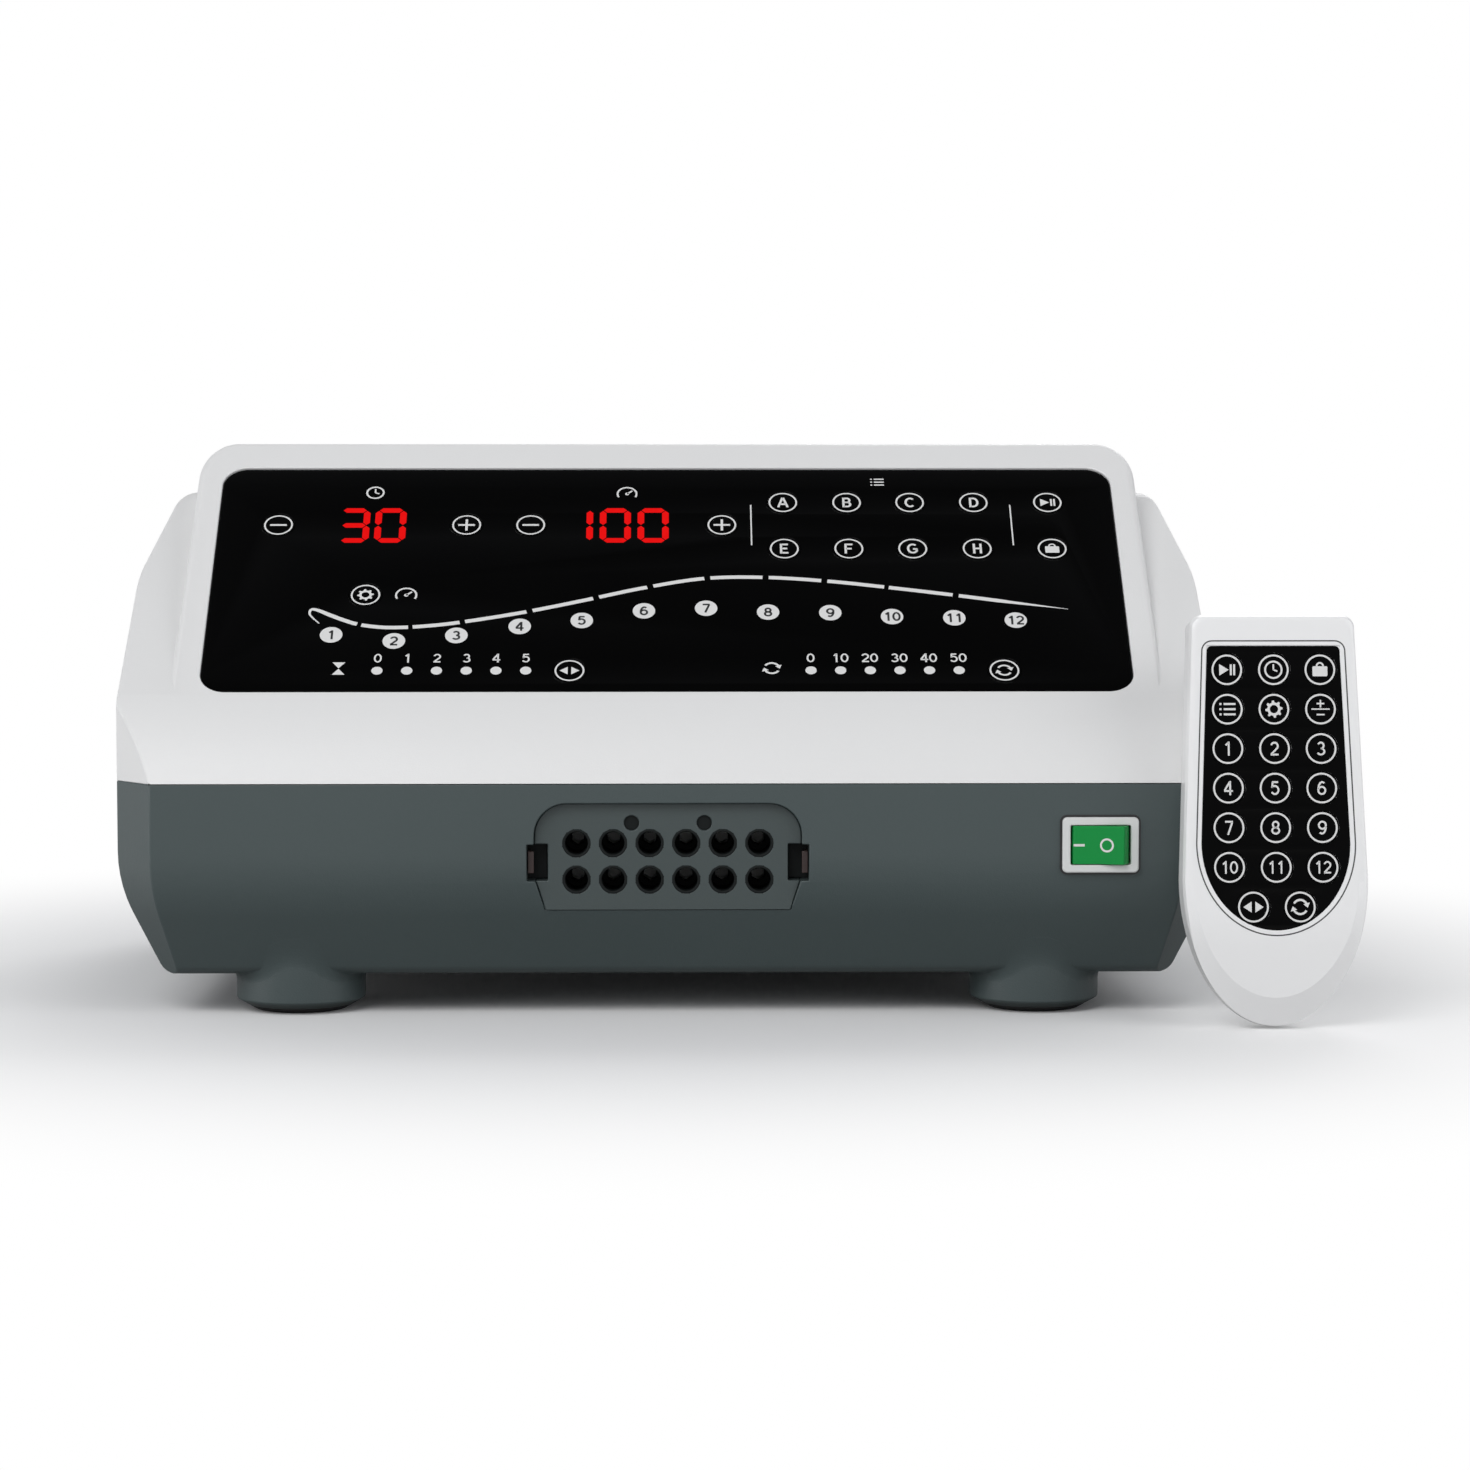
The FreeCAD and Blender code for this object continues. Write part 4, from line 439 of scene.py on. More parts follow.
def finish(name, colour, roughness, grain=0.0, cells=1800.0, wear=0.0, wear_colour=None, dust=0.06,
           spread=0.04, rough_spread=0.08, metallic=0.0, brushed=0.0, specular=0.5, coat=0.0, sheen=0.0):
    """Colour with slow variation, worn edges and dust, roughness that varies, and a fine bump.
    grain and brushed are the height of the bump in millimetres."""
    material, tree, shader = blank_material(name)
    slow = object_noise(tree, scale=9.0, detail=3.0)
    paint = blend_colour(tree, slow, shaded(colour, 1 - spread), shaded(colour, 1 + spread))
    if wear:
        worn = node(tree, "ShaderNodeGroup", {"Radius": WEAR_RADIUS * MM, "Amount": wear}, node_tree=WEAR)
        pale = wear_colour or shaded(colour, 1.35, 0.01)
        paint = blend_colour(tree, worn.outputs["Mask"], paint, pale)
    settled = node(tree, "ShaderNodeGroup", {"Amount": dust}, node_tree=DUST)
    paint = blend_colour(tree, settled.outputs["Mask"], paint, DUST_COLOUR)
    smudge = maths(tree, "SUBTRACT", object_noise(tree, scale=45.0, detail=5.0, rough=0.6), 0.5)
    uneven = maths(tree, "MULTIPLY", smudge, rough_spread)
    fill(tree, shader, {
        "Base Color": paint, "Roughness": maths(tree, "ADD", uneven, roughness, clamp=True),
        "Metallic": metallic, "Specular IOR Level": specular, "Coat Weight": coat,
        "Coat Roughness": COAT_ROUGHNESS, "Sheen Weight": sheen})
    if grain or brushed:
        pattern = node(tree, "ShaderNodeGroup", node_tree=GRAIN if grain else BRUSHED)
        if grain:
            pattern.inputs["Cells per metre"].default_value = cells
        bump = node(tree, "ShaderNodeBump", {
            "Strength": 1.0, "Distance": (grain or brushed) * MM, "Height": pattern.outputs["Height"]})
        tree.links.new(bump.outputs["Normal"], shader.inputs["Normal"])
    return material


def glowing(name, colour, strength):
    """Lit display segment: a saturated colour with a faint ripple."""
    material, tree, shader = blank_material(name)
    ripple = object_noise(tree, scale=700.0, detail=2.0)
    fill(tree, shader, {
        "Roughness": 0.4, "Specular IOR Level": 0.1, "Emission Strength": strength,
        "Emission Color": blend_colour(tree, ripple, colour, shaded(colour, 1.1, 0.003)),
        "Base Color": blend_colour(tree, ripple, (0.02, 0.001, 0.001), (0.03, 0.001, 0.001))})
    return material


COVER_WHITE = finish("cover_white", (0.755, 0.755, 0.75), 0.42, grain=0.02, cells=2600.0, wear=0.12,
                     wear_colour=(0.82, 0.82, 0.81), spread=0.015, dust=0.03)
HOUSING_DARK = finish("housing_green_grey", (0.048, 0.067, 0.068), 0.46, grain=0.03, cells=2200.0,
                      wear=0.25, spread=0.05, dust=0.05)
SOCKET_GREY = finish("socket_green_grey", (0.045, 0.061, 0.061), 0.44, grain=0.02, cells=2600.0,
                     wear=0.3, dust=0.04)
# painted shade: near black for the port bores and liners, the dimple floors and the clip plates behind the
# latch windows, where deep holes fall into shade
HOLE_SHADE_DARK = finish("hole_painted_shade", (0.006, 0.008, 0.008), 0.55, grain=0.01, cells=3000.0,
                   specular=0.15, dust=0.01)
PANEL_BLACK = finish("panel_gloss_black", (0.0005, 0.0005, 0.0005), 0.12, specular=0.06, dust=0.002,
                     rough_spread=0.03)
KEY_BLACK = finish("key_gloss_black", (0.0006, 0.0006, 0.0006), 0.15, specular=0.06, dust=0.002,
                   rough_spread=0.04)
PRINT_WHITE = finish("screen_print_white", (0.72, 0.72, 0.71), 0.5, spread=0.03, dust=0.05)
PRINT_BLACK = finish("screen_print_black", (0.008, 0.008, 0.009), 0.5, dust=0.01)
LED_RED = glowing("led_red", (0.74, 0.0, 0.0), 1.0)
LED_FILTER = finish("display_filter_red", (0.06, 0.003, 0.003), 0.2)
RUBBER = finish("pad_rubber", (0.018, 0.018, 0.018), 0.72, grain=0.04, cells=1400.0, specular=0.3,
                dust=0.12)
SCREW_STEEL = finish("screw_steel", (0.52, 0.52, 0.53), 0.3, metallic=1.0, brushed=0.008, dust=0.1)
PIN_METAL = finish("pin_nickel", (0.62, 0.60, 0.56), 0.22, metallic=1.0, brushed=0.006, dust=0.05)
BOARD_GREEN = finish("board_green", (0.012, 0.10, 0.035), 0.4, grain=0.02, cells=700.0, coat=0.3)
CLIP_BROWN = finish("clip_brown", (0.030, 0.014, 0.012), 0.45, grain=0.01, cells=2600.0, wear=0.4)
VALVE_WHITE = finish("valve_acetal", (0.60, 0.61, 0.59), 0.4, grain=0.01)
ROTOR_BUFF = finish("rotor_buff", (0.42, 0.38, 0.28), 0.4, grain=0.01)
MOTOR_STEEL = finish("motor_steel", (0.48, 0.48, 0.49), 0.36, metallic=1.0, brushed=0.01)
PUMP_ALLOY = finish("pump_alloy", (0.45, 0.46, 0.47), 0.5, metallic=0.9, grain=0.05, cells=1300.0)
HOSE_PALE = finish("hose_silicone", (0.55, 0.55, 0.53), 0.5, grain=0.01, sheen=0.1)
BEZEL_WHITE = finish("bezel_white", (0.68, 0.69, 0.68), 0.3, wear=0.15, wear_colour=(0.8, 0.8, 0.8),
                     coat=0.2)
ROCKER_GREEN = finish("rocker_green", (0.002, 0.262, 0.048), 0.35, wear=0.1,
                      wear_colour=(0.05, 0.4, 0.15), specular=0.25, spread=0.02, dust=0.0)
INLET_BLACK = finish("inlet_black", (0.016, 0.016, 0.017), 0.4, grain=0.02, cells=2000.0, wear=0.3)
REMOTE_WHITE = finish("remote_white", (0.85, 0.85, 0.848), 0.32, grain=0.01, cells=3000.0, wear=0.1,
                      wear_colour=(0.88, 0.88, 0.88), spread=0.012, dust=0.02, coat=0.15)
# painted shade of the groove round the remote's key field
GROOVE_SHADE_GREY = finish("groove_painted_shade", (0.045, 0.045, 0.045), 0.6)
CELL_BLUE = finish("cell_jacket", (0.02, 0.05, 0.12), 0.3, brushed=0.004, coat=0.3)
TAPE_YELLOW = finish("winding_tape", (0.55, 0.33, 0.03), 0.45, spread=0.08, coat=0.2)
# black of moulded parts, and also the painted shade ring round the switch frame
PART_AND_SHADE_BLACK = finish("part_black_and_painted_shade", (0.012, 0.012, 0.013), 0.4, grain=0.01)
LAMP_PALE = finish("lamp_body_pale", (0.62, 0.64, 0.60), 0.3, coat=0.3)
SLEEVE_BLUE = finish("can_sleeve", (0.012, 0.022, 0.06), 0.3, coat=0.2)
BRASS = finish("nozzle_brass", (0.60, 0.42, 0.16), 0.3, metallic=1.0, brushed=0.01)


# ================================================================ flat drawing: loops of (x, y)
def across(along):
    """A flat direction turned a quarter to the left."""
    return Vector((-along.y, along.x))


def arc(cx, cy, rx, ry, start, end, steps=None):
    """Points of an elliptic arc between two angles in degrees."""
    steps = steps or max(int(abs(end - start) / 12), 4)
    angles = [math.radians(start + (end - start) * i / steps) for i in range(steps + 1)]
    return [(cx + rx * math.cos(a), cy + ry * math.sin(a)) for a in angles]


def circle(r, cx=0.0, cy=0.0, steps=64):
    return arc(cx, cy, r, r, 0, 360, steps)[:-1]


def ring(r, line, steps=64):
    return [circle(r, steps=steps), circle(r - line, steps=steps)]


def bar(x0, y0, x1, y1, line):
    """A straight stroke with square ends."""
    a = Vector((x0, y0))
    b = Vector((x1, y1))
    side = across((b - a).normalized()) * line / 2
    return [tuple(a + side), tuple(a - side), tuple(b - side), tuple(b + side)]


def arc_band(r, line, start, end, cx=0.0, cy=0.0, steps=24):
    """A curved stroke between two angles in degrees."""
    outer = arc(cx, cy, r + line / 2, r + line / 2, start, end, steps)
    inner = arc(cx, cy, r - line / 2, r - line / 2, start, end, steps)
    return outer + inner[::-1]


def rounded(w, h, r, cx=0.0, cy=0.0, steps=8):
    """A rectangle with round corners, counter-clockwise."""
    loop = []
    for sx, sy, first in ((1, 1, 0), (-1, 1, 90), (-1, -1, 180), (1, -1, 270)):
        loop += arc(cx + sx * (w / 2 - r), cy + sy * (h / 2 - r), r, r, first, first + 90, steps)
    return loop


def drawn(loops, size, cx=0.0, cy=0.0):
    """Loops drawn to a size of one, in their size and place."""
    return [[(cx + x * size, cy + y * size) for x, y in loop] for loop in loops]


def plus(a, t, cy=0.0):
    """A plus sign that reaches a and is 2 t thick."""
    corners = [(-a, -t), (-t, -t), (-t, -a), (t, -a), (t, -t), (a, -t),
               (a, t), (t, t), (t, a), (-t, a), (-t, t), (-a, t)]
    return [[(x, y + cy) for x, y in corners]]


def gear(teeth=8):
    loop = []
    for i in range(teeth):
        for share, r in ((0.0, 0.57), (0.28, 0.57), (0.42, 0.44), (0.86, 0.44)):
            a = 2 * math.pi * (i + share) / teeth
            loop.append((r * math.cos(a), r * math.sin(a)))
    return [loop, circle(0.27, steps=24)]


def cycle():
    """Two curved arrows, each one outline: its band, and the head at the band's start."""
    loops = []
    for turn in (0.0, 180.0):
        tip = math.radians(turn + 14)
        out = Vector((math.cos(tip), math.sin(tip)))
        back = across(out)
        middle = out * 0.46
        head = [middle - out * 0.22 + back * 0.13, middle - back * 0.16, middle + out * 0.22 + back * 0.13]
        loops.append(arc_band(0.46, 0.14, turn + 30, turn + 150) + [tuple(p) for p in head])
    return loops


SYMBOLS = {
    "minus": [bar(-0.58, 0, 0.58, 0, 0.17)],
    "plus": plus(0.58, 0.085),
    "start_pause": [[(-0.5, -0.38), (0.12, 0), (-0.5, 0.38)],
                    bar(0.26, -0.36, 0.26, 0.36, 0.13), bar(0.48, -0.36, 0.48, 0.36, 0.13)],
    "lock": [rounded(0.98, 0.66, 0.08, 0, -0.1), arc_band(0.21, 0.11, 0, 180, 0, 0.24)],
    "gear": gear(),
    "left_right": [[(-0.66, 0), (-0.12, -0.36), (-0.12, 0.36)], [(0.66, 0), (0.12, 0.36), (0.12, -0.36)]],
    "cycle": cycle(),
    "clock": ring(0.6, 0.12, steps=40) + [bar(0, 0, 0, 0.36, 0.1), bar(0, 0, 0.26, -0.1, 0.1)],
    "list": [bar(x0, y, x1, y, 0.13)
             for y in (0.34, 0.0, -0.34) for x0, x1 in ((-0.52, -0.38), (-0.24, 0.54))],
    "level": plus(0.25, 0.05, 0.36) + [bar(-0.6, 0, 0.6, 0, 0.08), bar(-0.26, -0.36, 0.26, -0.36, 0.1)],
    "gauge": [arc_band(0.62, 0.12, -30, 210), bar(0, 0, 0.34, 0.3, 0.12), circle(0.13, steps=20)],
    "hourglass": [[(-0.4, 0.55), (0.0, 0.02), (0.4, 0.55)], [(-0.4, -0.55), (0.4, -0.55), (0.0, -0.02)]],
}

STEM = [(-0.22, -0.5), (-0.22, 0.5)]
# centre lines of plain figures and letters, one unit high and centred
GLYPHS = {
    "0": [arc(0, 0, 0.25, 0.425, 0, 360)],
    "1": [[(0.06, -0.5), (0.06, 0.5)], [(-0.16, 0.24), (0.06, 0.43)]],
    "2": [arc(0, 0.18, 0.235, 0.245, 165, -38) + [(-0.235, -0.4)], [(-0.28, -0.425), (0.28, -0.425)]],
    "3": [arc(-0.02, 0.212, 0.205, 0.213, 155, -88), arc(-0.02, -0.208, 0.25, 0.217, 92, -155)],
    "4": [[(0.12, -0.5), (0.12, 0.5)], [(0.1, 0.44), (-0.27, -0.16)], [(-0.31, -0.2), (0.31, -0.2)]],
    "5": [[(0.22, 0.425), (-0.2, 0.425)], [(-0.17, 0.44), (-0.21, 0.02)],
          arc(-0.02, -0.135, 0.255, 0.29, 142, -150)],
    "6": [arc(0, -0.17, 0.25, 0.255, 0, 360), arc(0.03, -0.13, 0.28, 0.555, 58, 176)],
    "7": [[(-0.27, 0.425), (0.29, 0.425)], [(0.24, 0.4), (-0.07, -0.5)]],
    "8": [arc(0, 0.215, 0.2, 0.21, 0, 360), arc(0, -0.205, 0.25, 0.22, 0, 360)],
    "9": [arc(0, 0.17, 0.25, 0.255, 0, 360), arc(-0.03, 0.13, 0.28, 0.555, 238, 356)],
    "A": [[(-0.33, -0.5), (-0.02, 0.5)], [(0.33, -0.5), (0.02, 0.5)], [(-0.2, -0.18), (0.2, -0.18)]],
    "B": [STEM, [(-0.2, 0.425)] + arc(0.03, 0.22, 0.17, 0.205, 90, -90) + [(-0.2, 0.015)],
          [(-0.19, 0.015)] + arc(0.04, -0.205, 0.21, 0.22, 90, -90) + [(-0.2, -0.425)]],
    "C": [arc(0.03, 0, 0.31, 0.425, 48, 312)],
    "D": [STEM, [(-0.2, 0.425)] + arc(-0.02, 0, 0.3, 0.425, 90, -90) + [(-0.2, -0.425)]],
    "E": [STEM, [(-0.2, 0.425), (0.26, 0.425)], [(-0.2, 0.01), (0.2, 0.01)],
          [(-0.2, -0.425), (0.28, -0.425)]],
    "F": [STEM, [(-0.2, 0.425), (0.26, 0.425)], [(-0.2, -0.01), (0.2, -0.01)]],
    "G": [arc(0, 0, 0.32, 0.425, 50, 325), [(0.02, -0.05), (0.33, -0.05)], [(0.27, -0.05), (0.27, -0.3)]],
    "H": [STEM, [(0.24, -0.5), (0.24, 0.5)], [(-0.2, 0.01), (0.22, 0.01)]],
}
GLYPH_STEP = 0.70


# ================================================================ meshes
# distances in metres under which points are one, in the drawn pieces and in copies of rigid ones
MERGE = 2e-7
MERGE_RIGID = 2e-6
# bends that are flat, and bends that are an edge
FLAT_ENOUGH = math.radians(0.4)
CREASE = math.radians(30.0)
# how far a rounded edge may move a point, as a share of the edge's width
BEVEL_REACH = 1.2


def placed(name, data):
    """A new object in the scene."""
    obj = bpy.data.objects.new(name, data)
    bpy.context.scene.collection.objects.link(obj)
    return obj


def mesh_from(made, name, *materials):
    """A mesh with its materials from a bmesh, which is gone afterwards."""
    mesh = bpy.data.meshes.new(name)
    made.to_mesh(mesh)
    made.free()
    for material in materials:
        mesh.materials.append(material)
    return mesh


def evaluated_mesh(obj, all_layers=False):
    """The mesh of a curve, or of an object with its modifiers applied."""
    bpy.context.view_layer.update()
    graph = bpy.context.evaluated_depsgraph_get()
    return bpy.data.meshes.new_from_object(obj.evaluated_get(graph), preserve_all_data_layers=all_layers,
                                           depsgraph=graph)


def search_tree(mesh):
    return BVHTree.FromPolygons([v.co for v in mesh.vertices], [f.vertices for f in mesh.polygons])


def skin(made, rows, closed=False):
    """Quads between rows of points, each row a closed section, with caps unless the rows close up."""
    following = rows[1:]
    if closed:
        following.append(rows[0])
    else:
        made.faces.new(rows[0])
        made.faces.new(rows[-1][::-1])
    for a, b in zip(rows, following):
        for k in range(len(a)):
            n = (k + 1) % len(a)
            made.faces.new((a[k], b[k], b[n], a[n]))


def section(made, corners):
    """Points in a bmesh from pairs of a flat place and a height in millimetres."""
    return [made.verts.new((p.x * MM, p.y * MM, z * MM)) for p, z in corners]


def slab(loops, low, high, edge=0.0):
    """Closed plate from outer and inner loops, between two heights, with its edges rounded."""
    curve = bpy.data.curves.new("outline", "CURVE")
    curve.dimensions = "2D"
    curve.fill_mode = "BOTH"
    curve.extrude = ((high - low) / 2 - edge) * MM
    curve.bevel_depth = edge * MM
    curve.bevel_resolution = 2
    curve.offset = -edge * MM
    for loop in loops:
        spline = curve.splines.new("POLY")
        spline.points.add(len(loop) - 1)
        spline.use_cyclic_u = True
        for point, (x, y) in zip(spline.points, loop):
            point.co = (x * MM, y * MM, 0, 1)
    carrier = placed("carrier", curve)
    mesh = evaluated_mesh(carrier)
    bpy.data.objects.remove(carrier)
    bpy.data.curves.remove(curve)
    mesh.transform(shifted(0, 0, (high + low) / 2))
    return mesh


def printed(loops, material=PRINT_WHITE):
    """A flat print and its material."""
    return slab(loops, PRINT_LOW, PRINT_HIGH), material


def ribbon(made, points, line, low, high):
    """Adds a stroke of even width along a line of points, as a closed strip between two heights."""
    closed = (Vector(points[0]) - Vector(points[-1])).length < 1e-6
    if closed:
        points = points[:-1]
    count = len(points)
    rows = []
    for i in range(count):
        here = Vector(points[i])
        before = Vector(points[i - 1]) if closed or i else here
        after = Vector(points[(i + 1) % count]) if closed or i < count - 1 else here
        side = across((after - before).normalized()) * line / 2
        rows.append(section(made, [(here + side, high), (here - side, high),
                                   (here - side, low), (here + side, low)]))
    skin(made, rows, closed)


def lettering(text, height, line, cx=0.0, cy=0.0, low=PRINT_LOW, high=PRINT_HIGH):
    """Plain figures or a letter, centred on (cx, cy), as thin closed strokes.
    line is the width of a stroke as a share of the height."""
    made = bmesh.new()
    for figure, x in zip(text, centred(len(text), GLYPH_STEP * height)):
        for stroke in drawn(GLYPHS[figure], height, cx + x, cy):
            ribbon(made, stroke, line * height, low, high)
    return mesh_from(made, "figures")


def joined(name, parts, place):
    """One mesh from (mesh, material) pairs drawn flat, taken to its place."""
    materials = []
    made = bmesh.new()
    for mesh, material in parts:
        if material not in materials:
            materials.append(material)
        count = len(made.faces)
        made.from_mesh(mesh)
        made.faces.ensure_lookup_table()
        for face in made.faces[count:]:
            face.material_index = materials.index(material)
        bpy.data.meshes.remove(mesh)
    bmesh.ops.remove_doubles(made, verts=made.verts, dist=MERGE)
    bmesh.ops.transform(made, matrix=place, verts=made.verts)
    bmesh.ops.recalc_face_normals(made, faces=made.faces)
    return mesh_from(made, name, *materials)


def sharpen(mesh, limit):
    """Smooth shading with creases above the angle in degrees."""
    mesh.shade_smooth()
    made = bmesh.new()
    made.from_mesh(mesh)
    for edge in made.edges:
        edge.smooth = len(edge.link_faces) == 2 and edge.calc_face_angle(0.0) < math.radians(limit)
    made.to_mesh(mesh)
    made.free()


def keep_in_box(mesh):
    """Draws vertices that stand past the rigid model's box back to it."""
    low, high = CAD_BOX
    for v in mesh.vertices:
        v.co = [min(max(c, a), b) for c, a, b in zip(v.co, low, high)]


def draw_back(mesh, node_name, reach):
    """Puts single vertices that a rounded edge has thrown out farther than reach back on the rigid piece."""
    tree = search_tree(NODES[node_name].data)
    for v in mesh.vertices:
        nearest, normal, _, gap = tree.find_nearest(v.co)
        if gap > reach and (v.co - nearest).dot(normal) > 0:
            v.co = nearest


def dress(node_name, material):
    """Gives a rigid piece the main material of the visible piece that stands for it."""
    mesh = NODES[node_name].data
    mesh.materials.clear()
    mesh.materials.append(material)


def add_piece(name, mesh, body, replaces=None, crease=35.0):
    """Makes a mesh a visible piece that rides on a body, and may stand for a rigid piece."""
    sharpen(mesh, crease)
    keep_in_box(mesh)
    piece = placed(name, mesh)
    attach(piece, body)
    if replaces:
        dress(replaces, mesh.materials[0])
        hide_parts(replaces)
    return piece


def baked(piece):
    """Replaces a piece's modifiers by their result."""
    mesh = evaluated_mesh(piece, all_layers=True)
    piece.modifiers.clear()
    old = piece.data
    piece.data = mesh
    mesh.name = old.name
    bpy.data.meshes.remove(old)


def cut_away(made, cutter):
    """What is left of a mesh when a closed body is taken away from it."""
    body, tool = (placed("carrier", mesh_from(part, "carrier")) for part in (made, cutter))
    cut = body.modifiers.new("cut", "BOOLEAN")
    cut.operation = "DIFFERENCE"
    cut.solver = "EXACT"
    cut.object = tool
    left = bmesh.new()
    left.from_mesh(evaluated_mesh(body))
    for carrier in (body, tool):
        bpy.data.objects.remove(carrier)
    return left


def round_edges(piece, width):
    """Rounds the edges that carry a bevel weight and evens out the shading beside them."""
    bevel = piece.modifiers.new("edges", "BEVEL")
    bevel.width = width
    bevel.segments = 2
    bevel.limit_method = "WEIGHT"
    bevel.use_clamp_overlap = False
    bevel.miter_outer = "MITER_ARC"
    weight = piece.modifiers.new("normals", "WEIGHTED_NORMAL")
    weight.keep_sharp = True
    weight.weight = 50
    baked(piece)


def finished_copy(node_name, name, materials, body, edge, pick=None, keep=None, cutter=None):
    """A merged copy of a rigid piece with smooth curved faces, and its sharp edges slightly rounded.
    pick gives each face, by its middle, the index of its material; keep names the edges that stay sharp;
    cutter is a closed body that is taken away first."""
    made = bmesh.new()
    made.from_mesh(NODES[node_name].data)
    bmesh.ops.remove_doubles(made, verts=made.verts, dist=MERGE_RIGID)
    if cutter:
        made = cut_away(made, cutter)
    bmesh.ops.dissolve_degenerate(made, dist=MERGE_RIGID, edges=made.edges)
    bmesh.ops.dissolve_limit(made, angle_limit=FLAT_ENOUGH, verts=made.verts, edges=made.edges)
    weights = made.edges.layers.float.new("bevel_weight_edge")
    for face in made.faces:
        face.material_index = pick(face.calc_center_median() / MM) if pick else 0
        face.smooth = True
    for e in made.edges:
        kept = keep is not None and keep(*(v.co / MM for v in e.verts))
        e.smooth = not kept and len(e.link_faces) == 2 and e.calc_face_angle(0.0) < CREASE
        e[weights] = 0.0 if e.smooth or kept else 1.0
    piece = placed(name, mesh_from(made, name, *materials))
    round_edges(piece, edge * MM)
    draw_back(piece.data, node_name, edge * MM * BEVEL_REACH)
    keep_in_box(piece.data)
    dress(node_name, materials[0])
    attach(piece, body)
    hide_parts(node_name)
    return piece


# ================================================================ geometry node trees
GRID_INPUTS = [
    ("Columns", "NodeSocketInt", 2), ("Rows", "NodeSocketInt", 2), ("Pitch X", FLOAT, 0.01),
    ("Pitch Y", FLOAT, 0.01), ("Material", "NodeSocketMaterial", None),
]


def grid_tree(name, *inputs):
    """A tree that has the inputs of a grid, and named lengths of its own in metres."""
    geometry = "NodeSocketGeometry"
    lengths = [(label, FLOAT, value) for label, value in inputs]
    return group_tree("GeometryNodeTree", name, [("Geometry", geometry, None)] + GRID_INPUTS + lengths,
                      [("Geometry", geometry)])


def spread_on_grid(tree, ins, outs, instance):
    """Ends a tree: instances on a grid with its counts and pitch, made real with one material."""
    grid = node(tree, "GeometryNodeMeshGrid")
    for count, pitch, axis in (("Columns", "Pitch X", "X"), ("Rows", "Pitch Y", "Y")):
        size = maths(tree, "MULTIPLY", maths(tree, "SUBTRACT", ins[count], 1.0), ins[pitch])
        fill(tree, grid, {"Vertices " + axis: ins[count], "Size " + axis: size})
    spread = node(tree, "GeometryNodeInstanceOnPoints",
                  {"Points": grid.outputs["Mesh"], "Instance": instance})
    real = node(tree, "GeometryNodeRealizeInstances", {"Geometry": spread.outputs["Instances"]})
    coat = node(tree, "GeometryNodeSetMaterial",
                {"Geometry": real.outputs["Geometry"], "Material": ins["Material"]})
    tree.links.new(coat.outputs["Geometry"], outs["Geometry"])
    return tree


def sleeve_tree():
    """Ring with a rounded section on every point of a grid: the liner at the mouth of an air port."""
    tree, ins, outs = grid_tree("port_sleeves", ("Middle radius", 0.004), ("Width", 0.0008),
                                ("Depth", 0.006), ("Round", 0.0003))
    path = node(tree, "GeometryNodeCurvePrimitiveCircle",
                {"Resolution": 40, "Radius": ins["Middle radius"]})
    sides = node(tree, "GeometryNodeCurvePrimitiveQuadrilateral",
                 {"Width": ins["Width"], "Height": ins["Depth"]})
    soft = node(tree, "GeometryNodeFilletCurve",
                {"Curve": sides.outputs["Curve"], "Count": 3, "Radius": ins["Round"]}, mode="POLY")
    sweep = node(tree, "GeometryNodeCurveToMesh",
                 {"Curve": path.outputs["Curve"], "Profile Curve": soft.outputs["Curve"]})
    return spread_on_grid(tree, ins, outs, sweep.outputs["Mesh"])


def cylinder(tree, vertices, radius, depth):
    inputs = {"Vertices": vertices, "Radius": radius, "Depth": depth}
    return node(tree, "GeometryNodeMeshCylinder", inputs).outputs["Mesh"]


def stud_tree():
    """Round stud on every point of a grid: printed dots, and the dark discs of painted shade on the floors
    of the keying dimples.
    """
    tree, ins, outs = grid_tree("round_studs", ("Radius", 0.002), ("Height", 0.0001))
    return spread_on_grid(tree, ins, outs, cylinder(tree, 40, ins["Radius"], ins["Height"]))


def lifted(tree, geometry, height, turn=0.0):
    """Geometry moved up by a height, and turned about the upright axis."""
    place = node(tree, "ShaderNodeCombineXYZ", {"Z": height}).outputs["Vector"]
    inputs = {"Geometry": geometry, "Translation": place, "Rotation": (0, 0, turn)}
    return node(tree, "GeometryNodeTransform", inputs).outputs["Geometry"]


def screw_tree():
    """Screw with a flat head and a cross recess in it on every point of a grid."""
    tree, ins, outs = grid_tree("cross_screws", ("Head radius", 0.0037), ("Head height", 0.003),
                                ("Shank radius", 0.0019), ("Shank length", 0.028))
    head = cylinder(tree, 32, ins["Head radius"], ins["Head height"])
    recess = node(tree, "ShaderNodeCombineXYZ", {
        "X": maths(tree, "MULTIPLY", ins["Head radius"], 1.25),
        "Y": maths(tree, "MULTIPLY", ins["Head radius"], 0.24), "Z": ins["Head height"]})
    cut = node(tree, "GeometryNodeMeshBoolean", operation="DIFFERENCE", solver="EXACT")
    fill(tree, cut, {"Self Intersection": True, "Mesh 1": head})
    drop = maths(tree, "MULTIPLY", ins["Head height"], -0.5)
    for turn in (0.0, math.pi / 2):
        slot_box = node(tree, "GeometryNodeMeshCube", {"Size": recess.outputs["Vector"]})
        tree.links.new(lifted(tree, slot_box.outputs["Mesh"], drop, turn), cut.inputs["Mesh 2"])
    shank = cylinder(tree, 24, ins["Shank radius"], ins["Shank length"])
    half = maths(tree, "MULTIPLY", ins["Shank length"], 0.5)
    over = maths(tree, "MULTIPLY", ins["Head height"], 0.4)
    both = node(tree, "GeometryNodeJoinGeometry")
    tree.links.new(lifted(tree, shank, maths(tree, "ADD", half, over)), both.inputs["Geometry"])
    tree.links.new(cut.outputs["Mesh"], both.inputs["Geometry"])
    return spread_on_grid(tree, ins, outs, both.outputs["Geometry"])


SLEEVES = sleeve_tree()
STUDS = stud_tree()
SCREWS = screw_tree()


